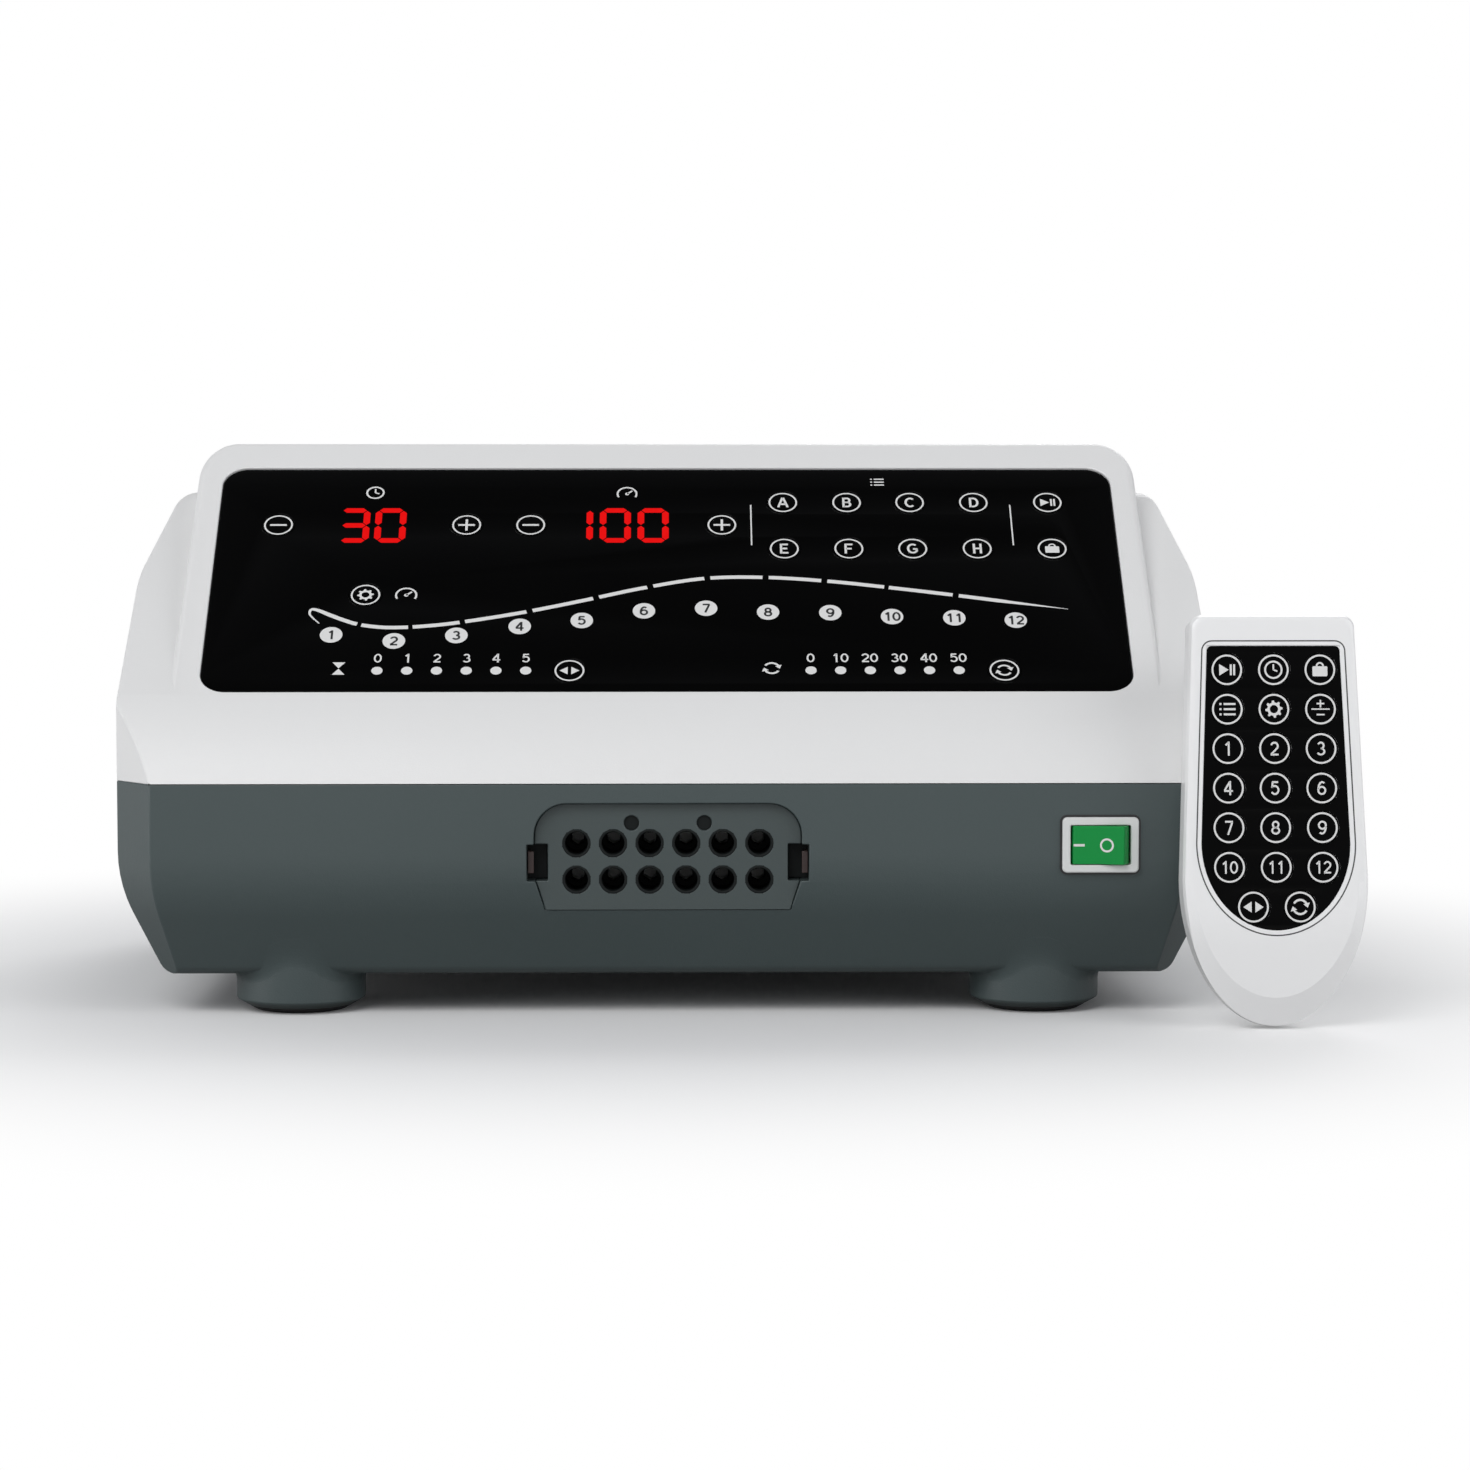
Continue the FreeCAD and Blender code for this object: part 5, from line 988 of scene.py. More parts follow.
def grown(name, tree, place, body, slot, replaces=None, **values):
    """A piece made by one of the trees, as a plain mesh in its place."""
    carrier = placed(name + "_tree", bpy.data.meshes.new(name + "_tree"))
    modifier = carrier.modifiers.new("tree", "NODES")
    modifier.node_group = tree
    sockets = {item.name: item.identifier for item in tree.interface.items_tree if item.in_out == "INPUT"}
    for label, value in values.items():
        modifier[sockets[label.replace("_", " ")]] = value
    mesh = evaluated_mesh(carrier)
    bpy.data.objects.remove(carrier)
    mesh.name = name
    mesh.transform(place)
    # a tree leaves an empty slot before its material
    mesh.materials.clear()
    mesh.materials.append(values["Material"])
    return add_piece(name, mesh, body, replaces)


# ================================================================ control panel
def key_mesh(name, place, cap_d, cap_t, ring_d, symbol, figure, figure_line):
    """Gloss cap with a printed ring and a symbol or figure; figure is its height as a share of the ring."""
    cap = slab([circle(cap_d / 2, steps=ROUND_STEPS)], -cap_t, 0.0, KEY_EDGE)
    parts = [(cap, KEY_BLACK), printed(ring(ring_d / 2, KEY_RING_LINE, steps=ROUND_STEPS))]
    if symbol in SYMBOLS:
        parts.append(printed(drawn(SYMBOLS[symbol], ring_d / 2)))
    else:
        height = figure * ring_d * (1.0 if len(symbol) == 1 else TWO_FIGURES)
        parts.append((lettering(symbol, height, figure_line), PRINT_WHITE))
    return joined(name, parts, place)


def make_console_keys():
    for name, (share_u, share_v, symbol) in CONSOLE_KEYS.items():
        place = PANEL_PLACE @ shifted(*panel_place(share_u, share_v), 0)
        mesh = key_mesh(name + "_cap", place, KEY_D, KEY_T, KEY_RING_D, symbol, KEY_FIGURE, KEY_FIGURE_LINE)
        add_piece(name + "_cap", mesh, name, name)


def make_panel():
    holes = [circle(KEY_HOLE_D / 2, *panel_place(u, v), ROUND_STEPS) for u, v, _ in CONSOLE_KEYS.values()]
    outline = rounded(PANEL_W, PANEL_L, PANEL_R, 0, PANEL_L / 2, 16)
    plate = slab([outline] + holes, -PANEL_T, 0.0, PANEL_EDGE)
    mesh = joined("panel_sheet", [(plate, PANEL_BLACK)], PANEL_PLACE)
    add_piece("panel_sheet", mesh, "housing", "control_panel")


def curve_points():
    """One smooth line that hooks down, dips at the second lamp and rises to the seventh."""
    points = []
    last = len(CURVE_KNOTS) - 1
    for i in range(last):
        p0, p1, p2, p3 = (Vector(CURVE_KNOTS[min(max(i + k, 0), last)]) for k in (-1, 0, 1, 2))
        for step in range(CURVE_STEPS):
            t = step / CURVE_STEPS
            points.append(0.5 * ((2 * p1) + (p2 - p0) * t + (2 * p0 - 5 * p1 + 4 * p2 - p3) * t * t
                                 + (3 * p1 - p0 - 3 * p2 + p3) * t ** 3))
    points.append(Vector(CURVE_KNOTS[-1]))
    return points


def curve_taper(n, rest):
    """Share of the curve's full width: it swells from its start and thins out over its last stretch."""
    swell = (n + SWELL_LEAD) / SWELL_SAMPLES
    thin_out = (rest + THIN_LEAD) / THIN_RUN
    return max(min(1.0, swell, thin_out), CURVE_THINNEST)


def chamber_curve():
    """The curve as twelve separate strokes."""
    points = curve_points()
    last = points[-1].x
    edges = [-math.inf] + CURVE_BREAKS + [math.inf]
    loops = []
    for start, end in zip(edges, edges[1:]):
        run = [(n, p) for n, p in enumerate(points) if start + CURVE_GAP / 2 < p.x < end - CURVE_GAP / 2]
        run = run[::CURVE_EVERY] + run[-1:]
        left, right = [], []
        for i, (n, p) in enumerate(run):
            ahead = run[min(i + 1, len(run) - 1)][1] - run[max(i - 1, 0)][1]
            side = across(ahead).normalized() * (CURVE_HALF_LINE * curve_taper(n, last - p.x))
            left.append(tuple(p + side))
            right.append(tuple(p - side))
        loops.append(left + right[::-1])
    return loops


def make_panel_print():
    """Rules, lamp discs, scale figures and small pictograms, screen printed on the sheet."""
    parts = [printed([bar(u, RULE_FROM_V, u, RULE_TO_V, RULE_LINE)]) for u in RULES_U]
    parts.append(printed(chamber_curve()))
    for i, place in enumerate(CHAMBER_LAMPS):
        u, v = panel_place(*place)
        figure = lettering(str(i + 1), LAMP_FIGURE, LAMP_FIGURE_LINE, u, v, PRINT_HIGH - 0.01, PRINT_TOP)
        parts += [printed([circle(LAMP_R, u, v, 48)]), (figure, PRINT_BLACK)]
    for i in range(DOTS):
        for first, text in ((HOLD_DOT_U, str(i)), (INTERVAL_DOT_U, str(10 * i))):
            u, v = panel_place(first + i * DOT_PITCH, ROW_FOOT)
            figure = lettering(text, DOT_FIGURE, DOT_FIGURE_LINE, u, v + DOT_FIGURE_RISE)
            parts.append((figure, PRINT_WHITE))
    for symbol, u, v, size in PICTOGRAMS:
        parts.append(printed(drawn(SYMBOLS[symbol], size, u, v)))
    add_piece("panel_print", joined("panel_print", parts, PANEL_PLACE), "housing")


def make_scale_dots():
    for name, first in (("hold_dots", HOLD_DOT_U), ("interval_dots", INTERVAL_DOT_U)):
        u, v = panel_place(first + (DOTS - 1) / 2 * DOT_PITCH, ROW_FOOT)
        place = PANEL_PLACE @ shifted(u, v, PRINT_HIGH - DOT_T / 2)
        pitch = DOT_PITCH * PANEL_W / 2
        grown(name, STUDS, place, "housing", "panel_black", Columns=DOTS, Rows=1, Pitch_X=pitch * MM,
              Pitch_Y=0.0, Radius=DOT_R * MM, Height=DOT_T * MM, Material=PRINT_WHITE)


SEGMENTS = {"0": "abcdef", "1": "bc", "3": "abcdg"}


def digit_loops(figure, cx, cy):
    """Seven-segment figure with pointed bars."""
    t = DIGIT_LINE / 2
    x, y = DIGIT_W / 2 - t, DIGIT_H / 2 - t
    ends = {
        "a": ((-x, y), (x, y)), "b": ((x, y), (x, 0)), "c": ((x, 0), (x, -y)), "d": ((-x, -y), (x, -y)),
        "e": ((-x, 0), (-x, -y)), "f": ((-x, y), (-x, 0)), "g": ((-x, 0), (x, 0)),
    }
    loops = []
    for name in SEGMENTS[figure]:
        a, b = (Vector(p) for p in ends[name])
        along = (b - a).normalized()
        side = across(along) * t
        a, b = a + along * DIGIT_GAP, b - along * DIGIT_GAP
        head, tail = a + along * t, b - along * t
        corners = [a, head - side, tail - side, b, tail + side, head + side]
        loops.append([(cx + p.x, cy + p.y) for p in corners])
    return loops


def make_displays():
    """Lit figures of the two displays."""
    parts = []
    for text, centre, pitch in DISPLAYS:
        for figure, u in zip(text, centred(len(text), pitch)):
            parts.append(printed(digit_loops(figure, centre + u, DIGIT_V), LED_RED))
    add_piece("led_figures", joined("led_figures", parts, PANEL_PLACE), "housing")


# ================================================================ console shells and front
def make_console_shells():
    finished_copy("top_cover", "cover_shell", [COVER_WHITE], "housing", edge=0.35)
    shell = finished_copy("base_housing", "lower_shell", [HOUSING_DARK], "housing",
                          edge=0.35, keep=meets_foot)
    make_foot_collars(shell)


def meets_foot(a, b):
    """Whether an edge lies where one of the feet meets the housing."""
    for x, y in FOOT_PLACES:
        if max(abs(math.hypot(p.x - x, p.y - y) - FOOT_R) for p in (a, b)) < FOOT_NEAR:
            return min(a.z, b.z) > UNDERSIDE - NEAR and max(a.z, b.z) < UNDERSIDE + FOOT_RISE
    return False


def make_foot_collars(shell):
    """Hollow rounds where the feet run into the underside and the tapered walls."""
    tree = search_tree(shell.data)
    up = Vector((0.0, 0.0, 1.0)) * MM
    made = bmesh.new()
    for x, y in FOOT_PLACES:
        middle = Vector((x, y, 0.0)) * MM
        rings = []
        for i in range(COLLAR_STEPS):
            a = 2 * math.pi * i / COLLAR_STEPS
            out = Vector((math.cos(a), math.sin(a), 0.0))
            radius = foot_radius(tree, middle, out)
            corner = rise_at(tree, middle + out * (radius + COLLAR_CLEAR * MM))
            far = rise_at(tree, middle + out * (radius + FOOT_BLEND * MM))
            start = corner - up * FOOT_BLEND
            curve = [start.lerp(corner, t).lerp(corner.lerp(far, t), t) for t in COLLAR_TURN]
            sunk = up * COLLAR_SUNK
            inner = out * COLLAR_BACK * MM
            back = [far + sunk, corner + sunk - inner, start - inner]
            rings.append([made.verts.new(p) for p in curve + back])
        skin(made, rings, closed=True)
    bmesh.ops.recalc_face_normals(made, faces=made.faces)
    mesh = mesh_from(made, "foot_collars", HOUSING_DARK)
    add_piece("foot_collars", mesh, "housing", crease=COLLAR_CREASE)


def foot_radius(tree, middle, out):
    """How far a foot's side lies from its middle, looked for from outside a little way up the foot."""
    height = Vector((0.0, 0.0, COLLAR_PROBE_Z)) * MM
    side = tree.ray_cast(middle + height + out * COLLAR_PROBE_R * MM, -out)[0]
    return (side - middle).xy.length


def rise_at(tree, place):
    """The housing's surface straight above a place on the ground."""
    return tree.ray_cast(Vector((place.x, place.y, -0.01)), Vector((0.0, 0.0, 1.0)))[0]


PORT_PLACES = [(x, PORT_MIDDLE_Z + z)
               for x in centred(PORT_COLUMNS, PORT_PITCH) for z in centred(PORT_ROWS, PORT_PITCH)]


def socket_material(c):
    """Painted shade: the bores of the air ports are coloured near black inside, where the deep holes fall
    into shade.
    """
    behind_face = c.y > SOCKET_Y + 0.2
    return int(behind_face and any(math.hypot(c.x - x, c.z - z) < PORT_REACH for x, z in PORT_PLACES))


def make_hose_socket():
    finished_copy("hose_socket", "socket_insert", [SOCKET_GREY, HOLE_SHADE_DARK], "housing",
                  edge=0.3, pick=socket_material)
    # the port liners are near black: painted shade at the mouths of the deep ports
    place = shifted(0, SOCKET_Y + SLEEVE_L / 2 - SLEEVE_PROUD, PORT_MIDDLE_Z) @ FRONT_PLACE
    grown("port_liners", SLEEVES, place, "housing", "socket_dark", Columns=PORT_COLUMNS, Rows=PORT_ROWS,
          Pitch_X=PORT_PITCH * MM, Pitch_Y=PORT_PITCH * MM, Middle_radius=SLEEVE_R * MM,
          Width=SLEEVE_WALL * MM, Depth=SLEEVE_L * MM, Round=SLEEVE_ROUND * MM, Material=HOLE_SHADE_DARK)
    # dark discs on the floors of the keying dimples: painted shade
    place = shifted(0, SOCKET_Y + DIMPLE_DEPTH - DIMPLE_FLOOR_T / 2, DIMPLE_Z) @ FRONT_PLACE
    grown("dimple_floors", STUDS, place, "housing", "socket_dark", Columns=2, Rows=1,
          Pitch_X=DIMPLE_PITCH * MM, Pitch_Y=0.0, Radius=DIMPLE_R * MM, Height=DIMPLE_FLOOR_T * MM,
          Material=HOLE_SHADE_DARK)


def make_switch():
    finished_copy("switch_frame", "switch_bezel", [BEZEL_WHITE], "housing", edge=0.4)
    finished_copy("power_rocker", "rocker_cap", [ROCKER_GREEN], "rocker", edge=0.25)
    make_bezel_gap()
    make_rocker_mark("mark_on", [bar(-MARK_ON_HALF, 0, MARK_ON_HALF, 0, MARK_ON_LINE)], -1, MARK_ON_X)
    make_rocker_mark("mark_off", ring(MARK_OFF_R, MARK_OFF_LINE), 1, MARK_OFF_X)


def make_bezel_gap():
    """Painted shade round the frame: a thin dark ring laid on the wall where the rounded flange would cast
    its shadow.
    """
    loops = [rounded(BEZEL_W + 2 * grow, BEZEL_H + 2 * grow, BEZEL_R + grow, *BEZEL_MIDDLE)
             for grow in (BEZEL_SHADE, -BEZEL_OVERLAP)]
    place = shifted(0, WALL_Y, 0) @ FRONT_PLACE
    # painted shade: a dark ring on the wall round the switch frame
    mesh = joined("bezel_painted_shade", [(slab(loops, SHADE_LOW, SHADE_HIGH), PART_AND_SHADE_BLACK)], place)
    add_piece("bezel_painted_shade", mesh, "housing")


def make_rocker_mark(name, loops, side, x):
    """A mark printed on one half of the rocker: side is -1 for the left half and 1 for the right."""
    place = (Matrix.Translation(ROCKER_AXIS) @ Matrix.Rotation(math.radians(-ROCKER_ANGLE), 4, "Z")
             @ shifted(0, -ROCKER_RISE, 0) @ Matrix.Rotation(math.radians(-side * ROCKER_ANGLE), 4, "Z")
             @ shifted(side * x, 0, 0) @ FRONT_PLACE)
    mesh = joined(name, [(slab(loops, PRINT_LOW, MARK_HIGH), PRINT_WHITE)], place)
    add_piece(name, mesh, "rocker")


INLET_X = 105.0
INLET_Z = 52.0
CONTACT_PLACES = [(INLET_X + dx, INLET_Z + dz) for dx, dz in ((-7.0, -2.0), (7.0, -2.0), (0.0, 2.0))]
CONTACT_HALF_W = 1.1
CONTACT_HALF_H = 2.1
CONTACT_FROM_Y = 105.6
CONTACT_TO_Y = 119.6


def inlet_material(c):
    """The three contacts stand in the middle of the cavity."""
    beside = (abs(c.x - x) < CONTACT_HALF_W and abs(c.z - z) < CONTACT_HALF_H for x, z in CONTACT_PLACES)
    return int(any(beside) and CONTACT_FROM_Y < c.y < CONTACT_TO_Y)


def make_inlet():
    finished_copy("mains_inlet", "inlet_body", [INLET_BLACK, PIN_METAL], "housing", edge=0.3,
                  pick=inlet_material)


def make_screws():
    low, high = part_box("housing_screws")
    place = Matrix.Translation(((low.x + high.x) / 2, (low.y + high.y) / 2, low.z + SCREW_HEAD_T / 2 * MM))
    grown("case_screws", SCREWS, place, "housing", "screw_steel", "housing_screws", Columns=2, Rows=2,
          Pitch_X=SCREW_PITCH_X * MM, Pitch_Y=SCREW_PITCH_Y * MM, Head_radius=SCREW_HEAD_R * MM,
          Head_height=SCREW_HEAD_T * MM, Shank_radius=SCREW_SHANK_R * MM, Shank_length=SCREW_SHANK_L * MM,
          Material=SCREW_STEEL)


# ================================================================ remote control
def on_remote(p):
    """A place of the scene in mm, as the remote has it when it lies on its back."""
    return REMOTE_PLACE.inverted() @ (p * MM) / MM


def stays_sharp(a, b):
    """Whether an edge of the front shell lies on the key field, on a key hole or on the chin's face."""
    ends = [on_remote(p) for p in (a, b)]
    on_field = all(FIELD_Z - FIELD_HOLE_DEPTH < p.z < FIELD_Z + NEAR for p in ends)
    on_chin = all(p.y < REMOTE_CHIN + NEAR and p.z > REMOTE_SEAM + SEAM_EDGE for p in ends)
    return on_field or on_chin


def remote_face(y):
    """Height of the remote's face: level over the keys, and falling away over the chin."""
    fall = math.atan(CHIN_DROP / CHIN_START)
    inside = CHIN_START + CHIN_ROUND * math.tan(fall / 2) - y
    if inside <= 0:
        return REMOTE_T
    if inside < CHIN_ROUND * math.sin(fall):
        return REMOTE_T - CHIN_ROUND + math.sqrt(CHIN_ROUND ** 2 - inside ** 2)
    return REMOTE_T - (CHIN_START - y) * math.tan(fall)


def facet_rows(steps=96, side_steps=12):
    """Pairs of places round the remote's lower half: where the facet starts, and the outline beside it."""
    half = REMOTE_W / 2
    draft = (REMOTE_W - REMOTE_TOP_W) / 2 / (REMOTE_L - REMOTE_CORNER - REMOTE_CHIN)
    side = []
    for i in range(side_steps):
        share = 1 - i / side_steps
        y = REMOTE_CHIN + (FACET_END - REMOTE_CHIN) * share
        x = half - draft * (y - REMOTE_CHIN)
        side.append(((x - FACET_SIDE_W - (FACET_END_W - FACET_SIDE_W) * share, y), (x, y)))
    starts = arc(0, REMOTE_CHIN, half - FACET_SIDE_W, REMOTE_CHIN - FACET_CHIN_W, 0, -180, steps)
    chin = list(zip(starts, arc(0, REMOTE_CHIN, half, REMOTE_CHIN, 0, -180, steps)))
    return side + chin + [((-x0, y0), (-x1, y1)) for (x0, y0), (x1, y1) in reversed(side)]


def facet_cutter():
    """The body over the sloping facet that runs round the remote's chin and fades out along its sides."""
    made = bmesh.new()
    rows = []
    for start, edge in facet_rows():
        start, edge = Vector(start), Vector(edge)
        high = remote_face(start.y) + FACET_LIFT
        low = remote_face(edge.y) - FACET_FALL * (edge - start).length
        past = start.lerp(edge, FACET_REACH)
        over = REMOTE_T + FACET_OVER
        rows.append(section(made, [(start, high), (past, high + (low - high) * FACET_REACH),
                                   (past, over), (start, over)]))
    skin(made, rows)
    bmesh.ops.transform(made, matrix=REMOTE_PLACE, verts=made.verts)
    bmesh.ops.recalc_face_normals(made, faces=made.faces)
    return made


def field_loop(grow, steps=48):
    """Outline of the key field, moved outward by grow."""
    top = REMOTE_L - FIELD_TOP + grow
    round_y = REMOTE_L - FIELD_BOTTOM + FIELD_ROUND
    half, top_half = FIELD_W / 2 + grow, FIELD_TOP_W / 2 + grow
    r = FIELD_CORNER + grow
    loop = arc(top_half - r, top - r, r, r, 0, 90, 8) + arc(r - top_half, top - r, r, r, 90, 180, 8)
    return loop + arc(0, round_y, half, FIELD_ROUND + grow, 180, 360, steps)


def remote_key_places():
    for row, names in enumerate(REMOTE_KEYS):
        for name, x in zip(names, centred(len(names), REMOTE_COLUMN)):
            yield name, x, REMOTE_L - REMOTE_ROW_1 - row * REMOTE_ROW


def make_remote_keys():
    for name, x, y in remote_key_places():
        symbol = REMOTE_SYMBOLS.get(name, name.lstrip("0"))
        piece = "remote_key_%s_cap" % name
        mesh = key_mesh(piece, REMOTE_PLACE @ shifted(x, y, FIELD_Z), REMOTE_KEY_D, REMOTE_KEY_T,
                        REMOTE_KEY_RING_D, symbol, REMOTE_KEY_FIGURE, REMOTE_KEY_FIGURE_LINE)
        add_piece(piece, mesh, "remote_key_" + name, "remote_key_" + name)


def make_key_field():
    """Gloss film that lines the key field."""
    holes = [circle(REMOTE_HOLE_D / 2, x, y, 64) for _, x, y in remote_key_places()]
    film = slab([field_loop(-FILM_GAP)] + holes, FIELD_Z - FILM_GAP, FIELD_Z + FILM_RISE, FILM_RISE)
    mesh = joined("key_field_film", [(film, KEY_BLACK)], REMOTE_PLACE)
    add_piece("key_field_film", mesh, "remote")


def make_field_line(shell):
    """Painted shade of a groove round the key field: a thin dark strip laid on the shell."""
    tree = search_tree(shell.data)
    out = (REMOTE_PLACE.to_3x3() @ Vector((0, 0, 1))).normalized()
    made = bmesh.new()
    rows = []
    for pair in zip(field_loop(LINE_FROM), field_loop(LINE_TO)):
        starts = [REMOTE_PLACE @ (Vector((x, y, REMOTE_T + 10.0)) * MM) for x, y in pair]
        inner, outer = (tree.ray_cast(start, -out)[0] + out * LINE_RISE * MM for start in starts)
        under = out * LINE_T * MM
        rows.append([made.verts.new(p) for p in (inner, outer, outer - under, inner - under)])
    skin(made, rows, closed=True)
    bmesh.ops.recalc_face_normals(made, faces=made.faces)
    add_piece("field_line", mesh_from(made, "field_line", GROOVE_SHADE_GREY), "remote")


def make_remote():
    shell = finished_copy("remote_front_shell", "remote_front", [REMOTE_WHITE], "remote",
                          edge=0.2, keep=stays_sharp, cutter=facet_cutter())
    finished_copy("remote_back_shell", "remote_back", [REMOTE_WHITE], "remote", edge=0.2)
    finished_copy("battery_door", "battery_lid", [REMOTE_WHITE], "door", edge=0.2)
    make_key_field()
    make_field_line(shell)
    make_remote_keys()


# ================================================================ pieces inside, and small plain pieces
SUPPLY_BOARD_TOP = 25.15
SINK_X = 53.5
SINK_HALF_T = 2.0
TRANSFORMER_MIDDLE = (76.0, 22.0)
TRANSFORMER_HALF = 18.5
RELAY_FROM_Y = 25.0
PANEL_BOARD_DROP = 12.0
LAMP_TOP = 2.05
BOARD_TOP = 0.05
REMOTE_BOARD_TOP = 14.45
CELL_ENDS = (24.05, 67.45)
CLIP_PLATE_Y = -112.05
PUMP_MOUNT_TOP = 23.45
NOZZLE_Y = -33.9
NOZZLE_X = -20.0
NOZZLE_Z = 48.5
NOZZLE_REACH = 4.2


def supply_material(c):
    """Board, heat sink, transformer, relay and cans of the power supply, by the middle of a face."""
    x, y = TRANSFORMER_MIDDLE
    if c.z < SUPPLY_BOARD_TOP:
        return 0
    if abs(c.x - SINK_X) < SINK_HALF_T:
        return 1
    if max(abs(c.x - x), abs(c.y - y)) < TRANSFORMER_HALF:
        return 2
    return 3 if c.y > RELAY_FROM_Y else 4


def panel_board_material(c):
    """Board, lamps and key switches, by their height over the board."""
    height = (PANEL_PLACE.inverted() @ (c * MM)).z / MM + PANEL_BOARD_DROP
    return 2 if height > LAMP_TOP else 1 if height > BOARD_TOP else 0


def remote_board_material(c):
    """Board, and the key switches on it."""
    return int(on_remote(c).z > REMOTE_BOARD_TOP)


def cell_material(c):
    """Jacket, and the bare metal at both ends of a cell."""
    low, high = CELL_ENDS
    return int(not low <= on_remote(c).y <= high)


def clip_material(c):
    """The plate at the back of a clip is near black as painted shade, so the latch window reads dark; its
    spring arm is brown.
    """
    return int(c.y > CLIP_PLATE_Y)


def compressor_material(c):
    """Body, rubber mounts under it, and the brass nozzle at its front."""
    if c.z < PUMP_MOUNT_TOP:
        return 1
    return 2 if c.y < NOZZLE_Y and c.x < NOZZLE_X and abs(c.z - NOZZLE_Z) < NOZZLE_REACH else 0


INNER_PIECES = [
    ("foot_pads", [RUBBER], "housing", "pad_rubber", 0.3, None),
    # the clip plates are painted shade: near black so the latch windows read dark
    ("latch_clips", [CLIP_BROWN, HOLE_SHADE_DARK], "housing", "clip_brown", 0.15, clip_material),
    ("valve_block", [VALVE_WHITE], "housing", "valve_white", 0.3, None),
    ("valve_motor", [MOTOR_STEEL], "housing", "motor_steel", 0.4, None),
    ("compressor", [PUMP_ALLOY, RUBBER, BRASS], "housing", "pump_alloy", 0.5, compressor_material),
    ("air_hose", [HOSE_PALE], "housing", "hose_rubber", 0.2, None),
    ("led_displays", [LED_FILTER], "housing", "display_red", 0.2, None),
    ("control_board", [BOARD_GREEN, LAMP_PALE, PART_AND_SHADE_BLACK], "housing", "board_green", 0.1,
     panel_board_material),
    ("power_supply", [BOARD_GREEN, PUMP_ALLOY, TAPE_YELLOW, PART_AND_SHADE_BLACK, SLEEVE_BLUE], "housing",
     "board_green", 0.25, supply_material),
    ("valve_rotor", [ROTOR_BUFF], "rotor", "rotor_plastic", 0.2, None),
    ("remote_board", [BOARD_GREEN, PART_AND_SHADE_BLACK], "remote", "board_green", 0.1, remote_board_material),
    ("batteries", [CELL_BLUE, PIN_METAL], "remote", "cell_jacket", 0.2, cell_material),
]


def make_inner_pieces():
    for name, materials, body, slot, edge, pick in INNER_PIECES:
        finished_copy(name, name + "_finish", materials, body, edge=edge, pick=pick)


# ================================================================ stage, light and camera, in metres
GROUND_R = 12.0
GROUND_DROP = 0.0002
GROUND_SEEN = [(0.90, 0.90, 0.90), (0.92, 0.92, 0.92)]
GROUND_BOUNCE = (0.45, 0.45, 0.45)
FADE_FROM = 0.15
FADE_TO = 0.42
SKY_LOW = (0.95, 0.96, 1.0)
SKY_HIGH = (0.30, 0.31, 0.33)
SKY_FROM = 0.25
SKY_TO = 0.85
SKY_STRENGTH = 0.66
LIGHT_TARGET = (0.02, -0.02, 0.09)
LIGHTS = [
    ("key_light", (-0.8, -1.6, 1.5), 1.4, 21.0), ("left_light", (-1.8, -0.7, 0.2), 1.0, 8.5),
    ("fill_light", (1.6, -1.2, 0.9), 1.6, 11.0), ("back_light", (0.5, 1.6, 1.4), 1.2, 12.0),
]
CAMERA_PLACE = (0.0, -1.30, 0.170)
CAMERA_TARGET = (0.0205, -0.12, 0.0875)
CAMERA_LENS = 95.0
SENSOR_W = 36.0


def either(tree, share, a, b, output):
    """Mixes two shaders into the output node: a where the share is 0, b where it is 1."""
    mix = node(tree, "ShaderNodeMixShader", {0: share, 1: a.outputs[0], 2: b.outputs[0]})
    tree.links.new(mix.outputs[0], tree.nodes[output].inputs["Surface"])


def ground_material():
    """Pale matte ground. It keeps the shadow near the object and fades to the white backdrop farther off."""
    material, tree, shader = blank_material("pale_ground")
    path = node(tree, "ShaderNodeLightPath")
    seen = blend_colour(tree, object_noise(tree, scale=3.0, detail=3.0), *GROUND_SEEN)
    fill(tree, shader, {
        "Roughness": 0.9, "Specular IOR Level": 0.2,
        "Base Color": blend_colour(tree, path.outputs["Is Camera Ray"], GROUND_BOUNCE, seen)})
    white = node(tree, "ShaderNodeEmission")
    coords = node(tree, "ShaderNodeTexCoord")
    away = node(tree, "ShaderNodeVectorMath", {0: coords.outputs["Object"]}, operation="LENGTH")
    fade = smooth_range(tree, away.outputs["Value"], FADE_FROM, FADE_TO)
    looked_at = maths(tree, "ADD", path.outputs["Is Camera Ray"], path.outputs["Is Glossy Ray"], clamp=True)
    either(tree, maths(tree, "MULTIPLY", fade, looked_at), shader, white, "Material Output")
    return material


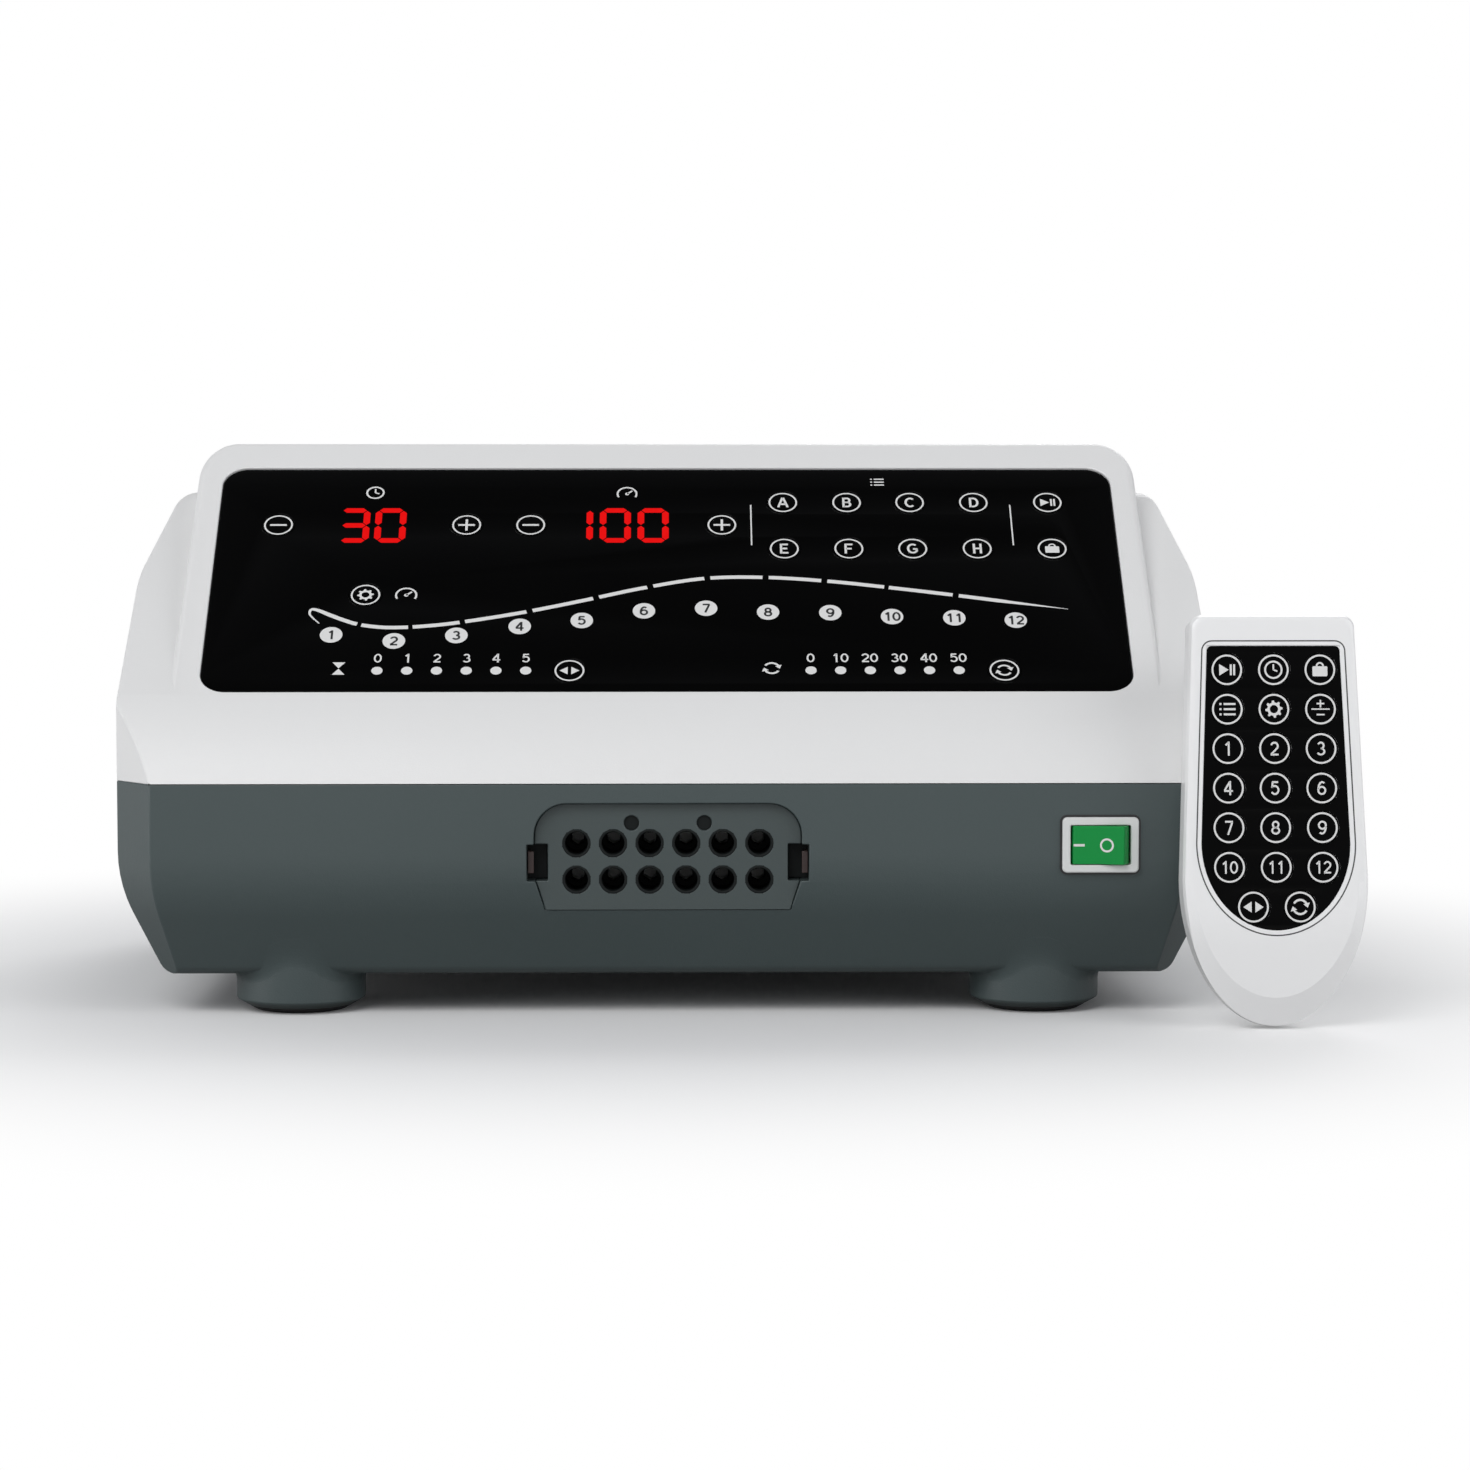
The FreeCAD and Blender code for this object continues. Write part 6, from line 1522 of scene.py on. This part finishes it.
def make_stage():
    made = bmesh.new()
    bmesh.ops.create_circle(made, cap_ends=True, cap_tris=False, segments=96, radius=GROUND_R)
    floor = placed("floor", mesh_from(made, "floor", ground_material()))
    floor.location.z = -GROUND_DROP


def looking(place, target):
    """The turn of a lamp or a camera that looks from its place at a target."""
    return (Vector(target) - Vector(place)).to_track_quat("-Z", "Y").to_euler()


def make_lamps():
    for name, place, size, power in LIGHTS:
        data = bpy.data.lights.new(name, "AREA")
        data.shape = "DISK"
        data.size = size
        data.energy = power
        light = placed(name, data)
        light.location = place
        light.rotation_euler = looking(place, LIGHT_TARGET)


def make_sky():
    """Soft light from all round, darker overhead; the camera sees plain white instead."""
    world = bpy.data.worlds.new("studio")
    bpy.context.scene.world = world
    world.use_nodes = True
    tree = world.node_tree
    light = tree.nodes["Background"]
    coords = node(tree, "ShaderNodeTexCoord")
    parts = node(tree, "ShaderNodeSeparateXYZ", {0: coords.outputs["Object"]})
    climb = smooth_range(tree, parts.outputs["Z"], SKY_FROM, SKY_TO)
    fill(tree, light, {"Color": blend_colour(tree, climb, SKY_LOW, SKY_HIGH), "Strength": SKY_STRENGTH})
    seen = node(tree, "ShaderNodeBackground", {"Color": (1.0, 1.0, 1.0, 1.0), "Strength": 1.0})
    path = node(tree, "ShaderNodeLightPath")
    either(tree, path.outputs["Is Camera Ray"], light, seen, "World Output")


def make_camera():
    data = bpy.data.cameras.new("camera")
    data.sensor_width = SENSOR_W
    data.lens = CAMERA_LENS
    data.clip_start = 0.05
    data.clip_end = 50.0
    camera = placed("camera", data)
    camera.location = CAMERA_PLACE
    camera.rotation_euler = looking(CAMERA_PLACE, CAMERA_TARGET)
    bpy.context.scene.camera = camera


def main():
    make_camera()
    make_stage()
    make_sky()
    make_lamps()
    make_console_shells()
    make_panel()
    make_panel_print()
    make_scale_dots()
    make_displays()
    make_console_keys()
    make_hose_socket()
    make_switch()
    make_inlet()
    make_screws()
    make_remote()
    make_inner_pieces()
    bpy.context.scene.view_settings.view_transform = "Standard"


main()
